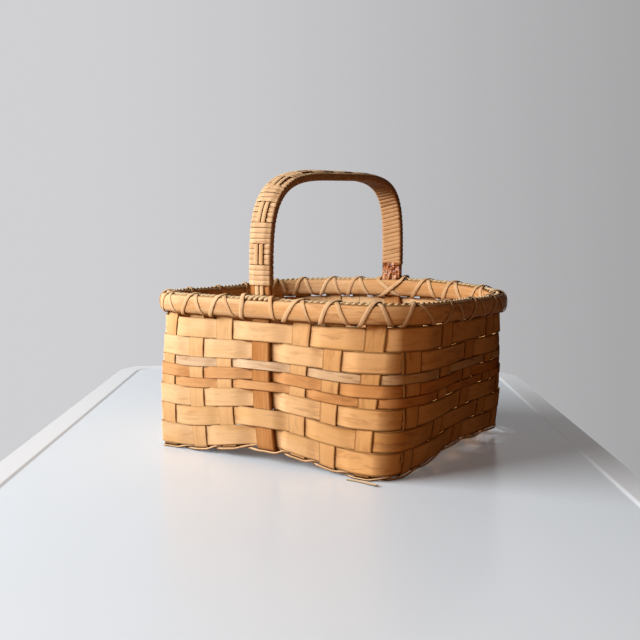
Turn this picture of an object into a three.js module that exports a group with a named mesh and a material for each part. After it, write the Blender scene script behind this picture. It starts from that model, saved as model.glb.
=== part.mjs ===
// Harvest basket: flat splints in plain weave on a domed base, a lashed hoop rim and a bentwood handle.
// Millimetres, +Z up. The origin is under the middle of the rim, +X runs along the long rim, the front is -Y.
import * as THREE from "three";

// Splints
const splintThick = 1.1;
const wideWeaver = 16.9;
const narrowWeaver = 7.8;
const middleWeaver = 10.2;
const rimWeaver = 13; // the hidden weaver that the rim hoops clamp
const stakeAtBase = 14.6; // the stakes widen towards the rim
const stakeAtRim = 17.6;
const weaveGap = 0.3; // air between two splints that cross
const rowGap = 0.4; // air between two weavers, one above the other
const edgeMargin = 0.6; // how far a weaver runs straight past a stake's edge

// Base
const baseLength = 236;
const baseWidth = 232;
const baseShift = 5.5; // the base sits a little to the right of the rim's middle
const leanOutX = 20.5; // how far the rim stands out past the base at each end
const leanOutY = -1.25; // and at the front and back, where the walls lean in a little
const bendReach = 4.6; // how far the turn from base to wall reaches along each
const archX = { rise: 10.5, reach: 90 }; // the base is domed, so it stands on its corners
const archY = { rise: 5.5, reach: 76 };

// Places of the stakes, measured from the middle of the rim.
// The handle takes the place of the fourth short-way stake.
const crossAtBase = [-101, -66, -34, 6, 37, 66, 98];
const crossAtRim = [-105, -71, -39, 0, 41, 72, 105];
const longAtBase = [-90, -46, 0, 44, 88];
const longAtRim = [-86, -45, 0, 44, 86];
const handleIndex = 3;

// Wall and rim: at the rim the wall's middle surface is a rounded rectangle
const rimLength = baseLength + 2 * leanOutX;
const rimWidth = baseWidth + 2 * leanOutY;
const rimRoundness = 4.2; // exponent of the rounded rectangle
const wallBulge = 3.5; // how far the wall stands out at half its height
const firstRow = 0.3; // from the end of the base turn to the lowest weaver
const rowWidths = [
  wideWeaver,
  wideWeaver,
  wideWeaver,
  narrowWeaver,
  middleWeaver,
  narrowWeaver,
  wideWeaver,
  wideWeaver,
];
const lashingRoom = 4.1; // between the top weaver and the hoops
const hoop = { height: 16, thick: 5, lip: 1.2, bevel: 1, rounding: 3.8 };
const hoopEase = 0.75; // room for flat splints where the hoops curve
const rimRowLow = 0.8; // from the hoops' low edge to the rim weaver
const stakeShort = 1.2; // the stakes end this far below the hoops' top
const filler = { radius: 2.5, rise: 1.9, climb: 1, ease: 12 }; // it eases round the handle, a little higher

// Lashing: two flat canes that cross over the rim, one laid over the other
const cane = { width: 3.6, thick: 1.2, gap: 0.5 };
const caneApart = 4; // from a stake's middle to where a cane crosses the hoops' top edge
const caneAside = 2.4; // from the middle of the gap between two stakes to a cane below the hoops
const handleSide = 3; // air between the handle's edge and the cane beside it

// Handle
const overallHeight = 249;
const handle = { width: 18, thick: 3.6 };
const archFoot = 148; // the legs are straight up to this height
const archRoundness = 4;
const wrapStart = 11.5; // bare leg above the rim in front
const wrapEnd = 18; // and behind
const wrap = { thick: 0.9, turns: 21, gap: 3 };
const strap = { width: 3.4, thick: 0.8, apart: 4.4, short: 0.8 };

// Twining round the base's edge
const twine = { thick: 1.8, lift: 1.4 };

// How finely the curves are cut into sections
const fine = {
  rimTurn: 0.2, // radians of the rim's turn, or
  rimRun: 40, // millimetres of its run, to a section
  cornerSteps: 5, // of a weaver between two stakes at a corner
  bendSteps: 3, // and where the wall turns less
  handleSteps: 44,
  baseSteps: 8, // of the handle under the base
  fillerSides: 6,
  twineSides: 5,
};

const baseLevel = splintThick + weaveGap / 2; // middle of the base's weave over the table
const wallFoot = baseLevel + bendReach;
const rows = [];
for (const width of rowWidths) {
  const low = rows.length ? rows[rows.length - 1].high + rowGap : wallFoot + firstRow;
  rows.push({ low, high: low + width });
}
const hoopLow = rows[rows.length - 1].high + lashingRoom;
const hoopTop = hoopLow + hoop.height;
const rimRow = { low: hoopLow + rimRowLow, high: hoopLow + rimRowLow + rimWeaver };
const notchThick = splintThick; // the handle's inner face is cut back between the hoops to a stake's face
const notchEnd = 0.1;
const clamped = Math.max(1.5 * splintThick + weaveGap, handle.thick / 2);
const hoopFace = clamped + weaveGap + hoopEase;

const up = new THREE.Vector3(0, 0, 1);
const vec = (x, y, z) => new THREE.Vector3(x, y, z);
const mix = (a, b, t) => a.clone().lerp(b, t);
const step = (p, ...pairs) =>
  pairs.reduce((sum, [direction, length]) => sum.addScaledVector(direction, length), p.clone());

// The dome of the base, which fades out up the wall
function dome(p) {
  const bump = (q) => (Math.abs(q) < 1 ? (1 - q * q) ** 2 : 0);
  const fade = THREE.MathUtils.clamp(1 - p.z / hoopLow, 0, 1);
  const alongX = archX.rise * bump((p.x - baseShift) / archX.reach);
  const alongY = archY.rise * bump(p.y / archY.reach);
  return vec(p.x, p.y, p.z + (alongX + alongY) * fade);
}

// Joins sections into one closed body. A section has a centre, two directions and a convex profile.
function loft(sections, closed, bend = (p) => p) {
  const sides = sections[0].profile.length;
  const points = sections.flatMap((s) =>
    s.profile.map(([w, n]) => bend(step(s.at, [s.wide, w], [s.out, n]))),
  );
  const index = [];
  const spans = closed ? sections.length : sections.length - 1;
  for (let i = 0; i < spans; i++)
    for (let j = 0; j < sides; j++) {
      const here = i * sides;
      const there = ((i + 1) % sections.length) * sides;
      const next = (j + 1) % sides;
      index.push(here + j, there + j, here + next);
      index.push(here + next, there + j, there + next);
    }
  if (!closed)
    for (let j = 1; j < sides - 1; j++) {
      const last = (sections.length - 1) * sides;
      index.push(0, j, j + 1, last, last + j + 1, last + j);
    }
  let volume = 0;
  for (let i = 0; i < index.length; i += 3) {
    const [a, b, c] = [0, 1, 2].map((j) => points[index[i + j]]);
    volume += a.dot(b.clone().cross(c));
  }
  if (volume < 0) index.reverse();
  const geometry = new THREE.BufferGeometry().setFromPoints(points);
  geometry.setIndex(index);
  geometry.computeVertexNormals();
  return geometry;
}

const strip = (width, thick) => [
  [-width / 2, -thick / 2],
  [width / 2, -thick / 2],
  [width / 2, thick / 2],
  [-width / 2, thick / 2],
];
const ring = (radius, sides) =>
  Array.from({ length: sides }, (_, i) => {
    const a = (2 * Math.PI * (i + 0.5)) / sides;
    return [radius * Math.cos(a), radius * Math.sin(a)];
  });

// Distance from the middle to a rounded rectangle, in the direction of an angle
function roundedReach(angle, halfLength, halfWidth, roundness) {
  const x = Math.abs(Math.cos(angle)) / halfLength;
  const y = Math.abs(Math.sin(angle)) / halfWidth;
  return (x ** roundness + y ** roundness) ** (-1 / roundness);
}

// The rim's line, with the length round it from the middle of the front
const rimLine = [];
const rimSteps = 720;
for (let i = 0; i <= rimSteps; i++) {
  const angle = (2 * Math.PI * i) / rimSteps - Math.PI / 2;
  const reach = roundedReach(angle, rimLength / 2, rimWidth / 2, rimRoundness);
  const point = vec(reach * Math.cos(angle), reach * Math.sin(angle), 0);
  const before = rimLine[i - 1];
  rimLine.push({ point, length: before ? before.length + point.distanceTo(before.point) : 0 });
}
const rimAround = rimLine[rimSteps].length;

// Outward direction of the rim at a point of it
function rimOut(p) {
  const slope = (v, size) => (Math.sign(v) * Math.abs((2 * v) / size) ** (rimRoundness - 1)) / size;
  return vec(slope(p.x, rimLength), slope(p.y, rimWidth), 0).normalize();
}

// The place at a length round the rim
function onRim(length) {
  const l = THREE.MathUtils.euclideanModulo(length, rimAround);
  const i = Math.max(1, rimLine.findIndex((r) => r.length >= l));
  const [a, b] = [rimLine[i - 1], rimLine[i]];
  const at = mix(a.point, b.point, (l - a.length) / (b.length - a.length));
  const out = rimOut(at);
  return { at, out, along: up.clone().cross(out) };
}

// Lengths round the rim at which to set sections: close together where it turns
function rimPlaces(extra = []) {
  const places = [0];
  let due = 0;
  for (let i = 1; i < rimSteps; i++) {
    const turn = rimOut(rimLine[i - 1].point).angleTo(rimOut(rimLine[i].point));
    due += turn / fine.rimTurn + (rimLine[i].length - rimLine[i - 1].length) / fine.rimRun;
    if (due < places.length) continue;
    places.push(rimLine[i].length);
  }
  return [...places, ...extra].sort((a, b) => a - b);
}

// The first length, from a start, at which the rim meets a given x or y
function rimLengthAt(axis, value, from, to) {
  const miss = (length) => onRim(length).at[axis] - value;
  let [a, b] = [from, to];
  for (let i = 0; i < 40; i++) {
    const c = (a + b) / 2;
    if (miss(c) > 0 === miss(b) > 0) b = c;
    else a = c;
  }
  return (a + b) / 2;
}

// The base's weave: a short-way stake is the lower one at every other crossing
const crossIsLow = (k, m) => (k + m) % 2 === 0;
const weaveLift = (splintThick + weaveGap) / 2;
const crossLift = (k, m) => (crossIsLow(k, m) ? -weaveLift : weaveLift);
function longLift(k, m) {
  const away = k === handleIndex ? (handle.thick + splintThick) / 2 + weaveGap : weaveLift;
  return crossIsLow(k, m) ? away : -away;
}

// Stakes, anticlockwise from the left end of the front
const quarter = rimAround / 4;
const lastCross = crossAtBase.length - 1;
const lastLong = longAtBase.length - 1;
function makeStake(foot, footOut, length, lift, isHandle = false) {
  const place = onRim(length);
  const [top, topOut] = [place.at.setZ(hoopLow), place.out];
  return { foot, footOut, top, topOut, length, lift, isHandle };
}
function crossEnd(k, end, from) {
  const foot = vec(crossAtBase[k], (end * baseWidth) / 2, 0);
  const length = rimLengthAt("x", crossAtRim[k], from, from + 2 * quarter);
  const isHandle = k === handleIndex;
  const lift = isHandle ? 0 : crossLift(k, end < 0 ? 0 : lastLong);
  return makeStake(foot, vec(0, end, 0), length, lift, isHandle);
}
function longEnd(m, end, from) {
  const foot = vec(baseShift + (end * baseLength) / 2, longAtBase[m], 0);
  const length = rimLengthAt("y", longAtRim[m], from, from + 2 * quarter);
  return makeStake(foot, vec(end, 0, 0), length, longLift(end < 0 ? 0 : lastCross, m));
}
const front = crossAtBase.map((_, k) => crossEnd(k, -1, -quarter));
const right = longAtBase.map((_, m) => longEnd(m, 1, 0));
const back = crossAtBase.map((_, k) => crossEnd(k, 1, quarter));
const left = longAtBase.map((_, m) => longEnd(m, -1, 2 * quarter));
const stakes = [...front, ...right, ...back.toReversed(), ...left.toReversed()];

const flare = (z) => THREE.MathUtils.clamp(z / hoopLow, 0, 1);
const stakeThick = (s) => (s.isHandle ? handle.thick : splintThick);
const stakeWidth = (s, z) =>
  s.isHandle ? handle.width : THREE.MathUtils.lerp(stakeAtBase, stakeAtRim, flare(z));

// A stake's middle line at a height
function onStake(s, z) {
  const out = mix(s.footOut, s.topOut, flare(z)).normalize();
  const bulge = wallBulge * Math.sin(Math.PI * flare(z));
  return step(mix(s.foot, s.top, flare(z)), [out, bulge]).setZ(z);
}

// The flat stretch of a stake between two heights, with its directions
function stretch(s, low, high) {
  const [a, b] = [onStake(s, low), onStake(s, high)];
  const rise = b.clone().sub(a).normalize();
  const along = up.clone().cross(mix(s.footOut, s.topOut, flare((low + high) / 2)).normalize());
  return { low: a, high: b, middle: mix(a, b, 0.5), rise, along, out: along.clone().cross(rise) };
}

const straightShare = 0.37; // of the distance between two ends: how strongly a curve keeps their directions

// Sections between two stakes, on a curve that leaves and meets them straight
function turnSections(a, b, count) {
  const reach = a.at.distanceTo(b.at) * straightShare;
  const leave = step(a.at, [a.along, reach]);
  const meet = step(b.at, [b.along, -reach]);
  const curve = new THREE.CubicBezierCurve3(a.at, leave, meet, b.at);
  const made = [];
  for (let i = 1; i < count; i++) {
    const along = curve.getTangent(i / count);
    const out = along.clone().cross(mix(a.wide, b.wide, i / count)).normalize();
    const wide = out.clone().cross(along);
    made.push({ at: curve.getPoint(i / count), wide, out, profile: a.profile });
  }
  return made;
}

// Sections between two stakes that follow the hoops
function clampedSections(a, b) {
  const offset = (s) => s.at.clone().sub(onRim(s.length).at).dot(onRim(s.length).out);
  const [from, to] = [a.length, b.length < a.length ? b.length + rimAround : b.length];
  const places = rimPlaces().flatMap((l) => [l, l + rimAround]);
  return places
    .filter((l) => l > from + edgeMargin && l < to - edgeMargin)
    .map((l) => {
      const place = onRim(l);
      const blend = THREE.MathUtils.smoothstep(l, from, to);
      const away = THREE.MathUtils.lerp(offset(a), offset(b), blend);
      const at = step(place.at, [place.out, away]).setZ(a.at.z);
      return { at, wide: up, out: place.out, profile: a.profile };
    });
}

function turnSteps(angle) {
  if (angle > 0.5) return fine.cornerSteps;
  return angle > 0.25 ? fine.bendSteps : 1;
}

// A weaver: outside one stake and inside the next, with a rounded run where the wall turns
function weaver(row, outsideFirst) {
  const profile = strip(row.high - row.low, splintThick);
  const isClamped = row === rimRow;
  const stops = stakes.map((s, i) => {
    const flat = stretch(s, row.low, row.high);
    const side = (i % 2 === 0) === outsideFirst ? 1 : -1;
    const stakeHalf = (isClamped ? notchThick : stakeThick(s)) / 2;
    const at = step(flat.middle, [flat.out, side * (stakeHalf + weaveGap + splintThick / 2)]);
    const reach = stakeWidth(s, (row.low + row.high) / 2) / 2 + edgeMargin;
    return [-1, 1].map((end) => ({
      at: step(at, [flat.along, end * reach]),
      length: THREE.MathUtils.euclideanModulo(s.length + end * reach, rimAround),
      along: flat.along,
      wide: flat.rise,
      out: flat.out,
      profile,
    }));
  });
  const sections = stops.flatMap(([start, end], i) => {
    const next = stops[(i + 1) % stops.length][0];
    if (isClamped) return [start, end, ...clampedSections(end, next)];
    return [start, end, ...turnSections(end, next, turnSteps(end.along.angleTo(next.along)))];
  });
  return loft(sections, true, dome);
}

const footSteps = [0, 0.35, 0.7];

// The turn from the base to the wall: a curve with its corner at the foot of the wall
function footTurn(s) {
  const inside = step(s.foot, [s.footOut, -bendReach]).setZ(baseLevel + s.lift);
  const corner = s.foot.clone().setZ(baseLevel + s.lift / 2);
  return new THREE.QuadraticBezierCurve3(inside, corner, onStake(s, wallFoot));
}

const leastTwist = 0.2; // radians

// The part of a stake from the base's turn to its end between the hoops.
// A stake that twists on its way up is flat within each row.
function climb(s) {
  const turn = footTurn(s);
  const wide = up.clone().cross(s.footOut);
  const sections = footSteps.map((t) => {
    const out = wide.clone().cross(turn.getTangent(t)).normalize();
    return { at: turn.getPoint(t), wide, out, profile: strip(stakeAtBase, splintThick) };
  });
  const put = (at, z, flat) => {
    const profile = strip(stakeWidth(s, z), splintThick);
    sections.push({ at, wide: flat.along, out: flat.out, profile });
  };
  const twists = s.footOut.angleTo(s.topOut) > leastTwist;
  if (!twists) put(onStake(s, wallFoot), wallFoot, stretch(s, wallFoot, rows[0].high));
  rows.forEach((row, j) => {
    const flat = stretch(s, row.low, row.high);
    if (twists) put(flat.low, row.low, flat);
    if (twists) put(flat.high, row.high, flat);
    const next = row.high + rowGap / 2;
    if (!twists && j < rows.length - 1) put(onStake(s, next), next, stretch(s, next - 1, next + 1));
  });
  put(s.top, hoopLow, stretch(s, hoopLow, hoopTop));
  put(onStake(s, hoopTop - stakeShort), hoopTop, stretch(s, hoopLow, hoopTop));
  return sections;
}
const mirrorWide = (sections) => sections.map((s) => ({ ...s, wide: s.wide.clone().negate() }));

function crossStake(k) {
  const flat = longAtBase.flatMap((y, m) =>
    [-1, 1].map((end) => ({
      at: vec(crossAtBase[k], y + end * (stakeAtBase / 2 + edgeMargin), baseLevel + crossLift(k, m)),
      wide: vec(1, 0, 0),
      out: vec(0, 0, -1),
      profile: strip(stakeAtBase, splintThick),
    })),
  );
  return loft([...climb(front[k]).reverse(), ...flat, ...mirrorWide(climb(back[k]))], false, dome);
}

function longStake(m) {
  const flat = crossAtBase.flatMap((x, k) => {
    const half = (k === handleIndex ? handle.width : stakeAtBase) / 2 + edgeMargin;
    return [-1, 1].map((end) => ({
      at: vec(x + end * half, longAtBase[m], baseLevel + longLift(k, m)),
      wide: vec(0, 1, 0),
      out: vec(0, 0, -1),
      profile: strip(stakeAtBase, splintThick),
    }));
  });
  return loft([...mirrorWide(climb(left[m]).reverse()), ...flat, ...climb(right[m])], false, dome);
}

// The handle's middle line above the rim: two straight legs and a rounded arch
const strapLow = handle.thick / 2 + weaveGap + strap.thick / 2;
const wrapTight = handle.thick / 2 + weaveGap + wrap.thick / 2;
const wrapOverStrap = strapLow + strap.thick / 2 + weaveGap + wrap.thick / 2;
const strapHigh = wrapTight + wrap.thick / 2 + weaveGap + strap.thick / 2;
const handleTop = overallHeight - wrapOverStrap - wrap.thick / 2;
const handleX = crossAtRim[handleIndex];
const legY = -front[handleIndex].top.y;
const archSteps = 64;
const gripLine = [vec(handleX, -legY, hoopTop)];
for (let i = 0; i <= archSteps; i++) {
  const angle = Math.PI - (Math.PI * i) / archSteps;
  const reach = roundedReach(angle, legY, handleTop - archFoot, archRoundness);
  gripLine.push(vec(handleX, reach * Math.cos(angle), archFoot + reach * Math.sin(angle)));
}
gripLine.push(vec(handleX, legY, hoopTop));
const gripCurve = new THREE.CatmullRomCurve3(gripLine, false, "centripetal");
gripCurve.arcLengthDivisions = 2000;
const gripLength = gripCurve.getLength();
const sideways = vec(1, 0, 0);

// The handle's place at a length along it from the rim in front
function onGrip(length) {
  const u = THREE.MathUtils.clamp(length / gripLength, 0, 1);
  const along = gripCurve.getTangentAt(u);
  return { at: gripCurve.getPointAt(u), along, out: sideways.clone().cross(along) };
}

// The handle: one hoop of bentwood, through the base, up both walls and over
function handleHoop() {
  const slab = (inner, outer) =>
    strip(handle.width, outer - inner).map(([w, n]) => [w, n + (inner + outer) / 2]);
  const half = handle.thick / 2;
  const full = slab(-half, half);
  const notched = slab(-notchThick / 2, half);
  const leg = (s) => {
    const turn = footTurn(s);
    const sections = footSteps.map((t) => {
      const out = up.clone().cross(s.footOut).cross(turn.getTangent(t)).normalize();
      return { at: turn.getPoint(t), wide: sideways, out, profile: full };
    });
    const put = (z, profile) => {
      const out = stretch(s, z - 1, z + 1).out;
      sections.push({ at: onStake(s, z), wide: sideways, out, profile });
    };
    put(wallFoot, full);
    rows.slice(0, -1).forEach((row) => put(row.high + rowGap / 2, full));
    const notch = [rimRow.low - weaveGap, rimRow.high + weaveGap];
    put(notch[0] - notchEnd, full);
    put(notch[0], notched);
    put(notch[1], notched);
    put(notch[1] + notchEnd, full);
    sections.push({ at: s.top.clone().setZ(hoopTop), wide: sideways, out: s.topOut, profile: full });
    return sections;
  };
  const over = [];
  for (let i = 1; i < fine.handleSteps; i++) {
    const place = onGrip((gripLength * i) / fine.handleSteps);
    over.push({ at: place.at, wide: sideways, out: place.out, profile: full });
  }
  const under = [];
  const footY = baseWidth / 2 - bendReach;
  for (let i = 1; i < fine.baseSteps; i++) {
    const y = footY - (2 * footY * i) / fine.baseSteps;
    const at = vec(crossAtBase[handleIndex], y, baseLevel);
    under.push({ at, wide: sideways, out: vec(0, 0, -1), profile: full });
  }
  const down = leg(back[handleIndex]).reverse();
  return loft([...leg(front[handleIndex]), ...over, ...down, ...under], true, dome);
}

// A rim hoop's outline over its low edge: flat against the wall, rounded away from it
const hoopOutline = [
  [hoop.bevel, 0],
  [0, hoop.lip],
  [hoop.rounding, hoop.thick],
  [hoop.height - hoop.rounding, hoop.thick],
  [hoop.height, hoop.lip],
  [hoop.height - hoop.bevel, 0],
];

function rimHoop(side) {
  const profile = hoopOutline.map(([w, n]) => [w, side * (hoopFace + n)]);
  const sections = rimPlaces().map((length) => {
    const place = onRim(length);
    return { at: place.at, wide: up, out: place.out, profile };
  });
  return loft(sections, true);
}

// The filler's middle over the rim's line: it passes in front of the handle's straps
const fillerOut = strapLow + strap.thick / 2 + weaveGap + filler.radius;
const handleLengths = stakes.filter((s) => s.isHandle).map((s) => s.length);
function fillerPlace(length) {
  const away = handleLengths.map((l) => {
    const d = THREE.MathUtils.euclideanModulo(length - l + rimAround / 2, rimAround);
    return Math.abs(d - rimAround / 2) - handle.width / 2;
  });
  const share = 1 - THREE.MathUtils.smoothstep(Math.min(...away), 0, filler.ease);
  const climbed = filler.climb * Math.min(1, 2 * share);
  return { shift: fillerOut * share, z: hoop.height + filler.rise + climbed };
}

function rimFiller() {
  const profile = ring(filler.radius, fine.fillerSides);
  const eases = [-1, -0.75, -0.5, -0.25, 0].map((t) => t * filler.ease - handle.width / 2);
  const beside = [...eases, ...eases.map((l) => -l)];
  const extra = handleLengths.flatMap((l) => beside.map((d) => l + d));
  const places = rimPlaces(extra.map((l) => THREE.MathUtils.euclideanModulo(l, rimAround)));
  const sections = places.map((length) => {
    const place = onRim(length);
    const { shift, z } = fillerPlace(length);
    const at = step(place.at, [place.out, shift]).setZ(z);
    return { at, wide: up, out: place.out, profile };
  });
  return loft(sections, true);
}

// The tight line round a set of points, anticlockwise. Corners that hardly stand out are left out.
function outlineOf(points) {
  const smallest = 0.5; // twice the area that a corner has to add, in mm2
  const turn = (a, b, c) => (b[0] - a[0]) * (c[1] - a[1]) - (b[1] - a[1]) * (c[0] - a[0]);
  const half = (list) => {
    const kept = [];
    for (const p of list) {
      while (kept.length > 1 && turn(kept.at(-2), kept.at(-1), p) < smallest) kept.pop();
      kept.push(p);
    }
    return kept.slice(0, -1);
  };
  const sorted = points.toSorted((a, b) => a[0] - b[0] || a[1] - b[1]);
  return [...half(sorted), ...half(sorted.toReversed())];
}

// The line moved outwards. Each corner gets the outward direction that a band's fold there has.
const flatOut = (a, b) => new THREE.Vector2(b[1] - a[1], a[0] - b[0]).normalize();
function movedOut(outline, distance) {
  return outline.map((p, i) => {
    const before = outline.at(i - 1);
    const after = outline[(i + 1) % outline.length];
    const out = flatOut(before, p).add(flatOut(p, after)).normalize();
    out.divideScalar(out.dot(flatOut(p, after)));
    return { n: p[0] + out.x * distance(p), z: p[1] + out.y * distance(p), out };
  });
}

// One cane of the lashing: up outside, over the rim at a stake, down inside and out through the next gap.
// The second cane runs the other way round and lies over the first where they cross.
function lashing(direction, layer) {
  const lay = layer * (cane.thick + cane.gap);
  const skin = cane.gap + cane.thick / 2;
  const widest = hoopFace + hoop.thick;
  const shoulder = hoop.height - hoop.bevel;
  const inHoops = hoopOutline.flatMap(([w, n]) => [
    [hoopFace + n, w],
    [-hoopFace - n, w],
  ]);
  const list = direction > 0 ? stakes : stakes.toReversed();
  const between = (a, b) => THREE.MathUtils.euclideanModulo(direction * (b.length - a.length), rimAround);
  const path = [];
  const put = (length, n, z, out) => {
    const place = onRim(length);
    const at = step(place.at, [place.out, n]).setZ(z);
    path.push({ at, wide: place.along, out: step(vec(0, 0, 0), [place.out, out.x], [up, out.y]) });
  };
  list.forEach((s, i) => {
    const low = caneAside - between(list.at(i - 1), s) / 2;
    const lowIn = between(s, list[(i + 1) % list.length]) / 2 - caneAside;
    const aside = handle.width / 2 + handleSide + cane.width / 2;
    const [over, overIn] = s.isHandle ? [-aside, -aside] : [-caneApart, caneApart];
    const inCord = [-1, 1].flatMap((end) => {
      const cord = fillerPlace(s.length + direction * (over + (end * cane.width) / 2));
      return ring(filler.radius, fine.fillerSides).map(([w, n]) => [n + cord.shift, w + cord.z]);
    });
    const isCrossing = ([n, z]) => z > hoop.height || z < hoop.bevel || (s.isHandle && n < 0);
    const away = (p) => skin + (isCrossing(p) ? lay : 0);
    const corners = movedOut(outlineOf([...inHoops, ...inCord]), away);
    const start = corners.findIndex((p, j) => p.n > 0 && corners.at(j - 1).n < 0);
    const round = [...corners.slice(start), ...corners.slice(0, start)];
    const lengthAt = (p) => {
      const share = THREE.MathUtils.clamp(p.z / shoulder, 0, 1);
      const upOutside = THREE.MathUtils.lerp(low, over, share);
      const downInside = THREE.MathUtils.lerp(lowIn, overIn, share);
      const across = THREE.MathUtils.mapLinear(p.n, widest, -widest, over, overIn);
      const along = p.z > shoulder ? across : p.n > 0 ? upOutside : downInside;
      return s.length + direction * along;
    };
    const [first, last] = [round[0], round.at(-1)];
    if (i === 0) put(s.length + direction * low, cane.gap, first.z, first.out);
    for (const p of round) put(lengthAt(p), p.n, p.z, p.out);
    if (i === list.length - 1) put(s.length + direction * lowIn, -cane.gap, last.z, last.out);
  });
  // The fold at a corner lies along the rim, so a slanting cane is wider there
  return path.map((p, i) => {
    const before = path[Math.max(0, i - 1)].at;
    const after = path[Math.min(path.length - 1, i + 1)].at;
    const slant = Math.sin(after.clone().sub(before).angleTo(p.wide));
    return { ...p, profile: strip(cane.width / slant, cane.thick) };
  });
}

// The least air between the turns of a winding, on its sections' corners
function leastGap(sections, fewest) {
  const corners = sections.map((s) => s.profile.map(([w, n]) => step(s.at, [s.wide, w], [s.out, n])));
  let least = Infinity;
  corners.forEach((list, i) => {
    for (const other of corners.slice(i + fewest).flat())
      for (const p of list) least = Math.min(least, p.distanceTo(other));
  });
  return least;
}

// The handle's wrap: one band wound round the handle. Each turn stands for four turns of cane.
const wrapPitch = (gripLength - wrapStart - wrapEnd) / wrap.turns;
const wrapBand = wrapPitch - wrap.gap;
const wrapMiddle = (turn) => wrapStart + wrapPitch * (turn + 0.5);
const isOverStrap = (turn) => turn % 2 === 0;

function handleWrap() {
  const edge = handle.width / 2 + weaveGap + wrap.thick / 2;
  const tuck = 0.2; // an end lies straight across the inner face, to this share past its middle
  const sections = [];
  // Outside, a band lies flat across the arch. Inside, it is a chord of the arch.
  const put = (turn, side, n, isCorner = true) => {
    const place = onGrip(wrapMiddle(turn));
    const ends = [-1, 1].map((end) => {
      const reach = (end * wrapBand) / 2;
      if (n > 0) return step(place.at, [sideways, side * edge], [place.out, n], [place.along, reach]);
      const near = onGrip(wrapMiddle(turn) + reach);
      return step(near.at, [sideways, side * edge], [near.out, n]);
    });
    const [a, b] = ends;
    const out = place.out.clone().multiplyScalar(Math.sign(n));
    if (isCorner) out.addScaledVector(sideways, side);
    const profile = strip(a.distanceTo(b), wrap.thick * (isCorner ? Math.SQRT2 : 1));
    const wide = b.clone().sub(a).normalize();
    sections.push({ at: mix(a, b, 0.5), wide, out: out.normalize(), profile });
  };
  put(0, tuck, -wrapTight, false);
  for (let turn = 0; turn < wrap.turns; turn++) {
    const face = isOverStrap(turn) ? wrapOverStrap : wrapTight;
    put(turn, -1, -wrapTight);
    put(turn, -1, face);
    put(turn, 1, face);
    put(turn, 1, -wrapTight);
  }
  put(wrap.turns - 1, -tuck, -wrapTight, false);
  return sections;
}

// A strap along the handle's outer face: under one turn of the wrap and over the next
function handleStrap(side) {
  const profile = strip(strap.width, strap.thick);
  const sections = [];
  const put = (place, along, n) => {
    const across = (side * strap.apart) / 2;
    const at = step(place.at, [sideways, across], [place.along, along], [place.out, n]);
    sections.push({ at, wide: sideways, out: place.out, profile });
  };
  put(onGrip(strap.short), 0, strapLow);
  for (let turn = 0; turn < wrap.turns; turn++) {
    const n = isOverStrap(turn) ? strapLow : strapHigh;
    const reach = wrapBand / 2 + weaveGap;
    put(onGrip(wrapMiddle(turn)), -reach, n);
    put(onGrip(wrapMiddle(turn)), reach, n);
  }
  put(onGrip(gripLength - strap.short), 0, strapLow);
  return loft(sections, false);
}

// One of two strands that twist round each other and past each stake at the base's turn
function twining(phase) {
  const profile = ring(twine.thick / 2, fine.twineSides);
  const stops = stakes.map((s, i) => {
    const turn = footTurn(s);
    const [middle, forward] = [turn.getPoint(0.5), turn.getTangent(0.5)];
    const along = up.clone().cross(s.footOut);
    const out = along.clone().cross(forward).normalize();
    const side = (i + phase) % 2 === 0 ? 1 : -1;
    const away = side * (stakeThick(s) / 2 + weaveGap + twine.thick / 2);
    const half = stakeWidth(s, 0) / 2 + edgeMargin;
    return { middle, along, forward, out, side, away, half };
  });
  const sections = stops.flatMap((a, i) => {
    const b = stops[(i + 1) % stops.length];
    const beside = [-1, 1].map((end) => ({
      at: step(a.middle, [a.out, a.away], [a.along, end * a.half]),
      wide: a.forward,
      out: a.out,
      profile,
    }));
    const from = step(a.middle, [a.along, a.half]);
    const to = step(b.middle, [b.along, -b.half]);
    const reach = from.distanceTo(to) * straightShare;
    const leave = step(from, [a.along, reach]);
    const meet = step(to, [b.along, -reach]);
    const curve = new THREE.CubicBezierCurve3(from, leave, meet, to);
    const wide = mix(a.forward, b.forward, 0.5).normalize();
    const out = curve.getTangent(0.5).cross(wide).normalize();
    const at = step(curve.getPoint(0.5), [wide, a.side * twine.lift]);
    return [...beside, { at, wide, out, profile }];
  });
  return loft(sections, true, dome);
}

// Materials
const paint = (color, roughness) => new THREE.MeshStandardMaterial({ color, roughness, metalness: 0 });
const paleSplint = paint("#d9b27c", 0.7);
const greySplint = paint("#c9ab80", 0.7);
const warmSplint = paint("#c9955a", 0.7);
const hardwood = paint("#a5662f", 0.55);
const rimWood = paint("#d3a66c", 0.6);
const caneWood = paint("#cda877", 0.55);
const grass = paint("#d8c29a", 0.85);

const basket = new THREE.Group();
const rim = new THREE.Group();
rim.position.z = hoopLow;
basket.add(rim);
function add(name, geometry, material, group = basket) {
  const mesh = new THREE.Mesh(geometry, material);
  mesh.name = name;
  group.add(mesh);
}

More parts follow.
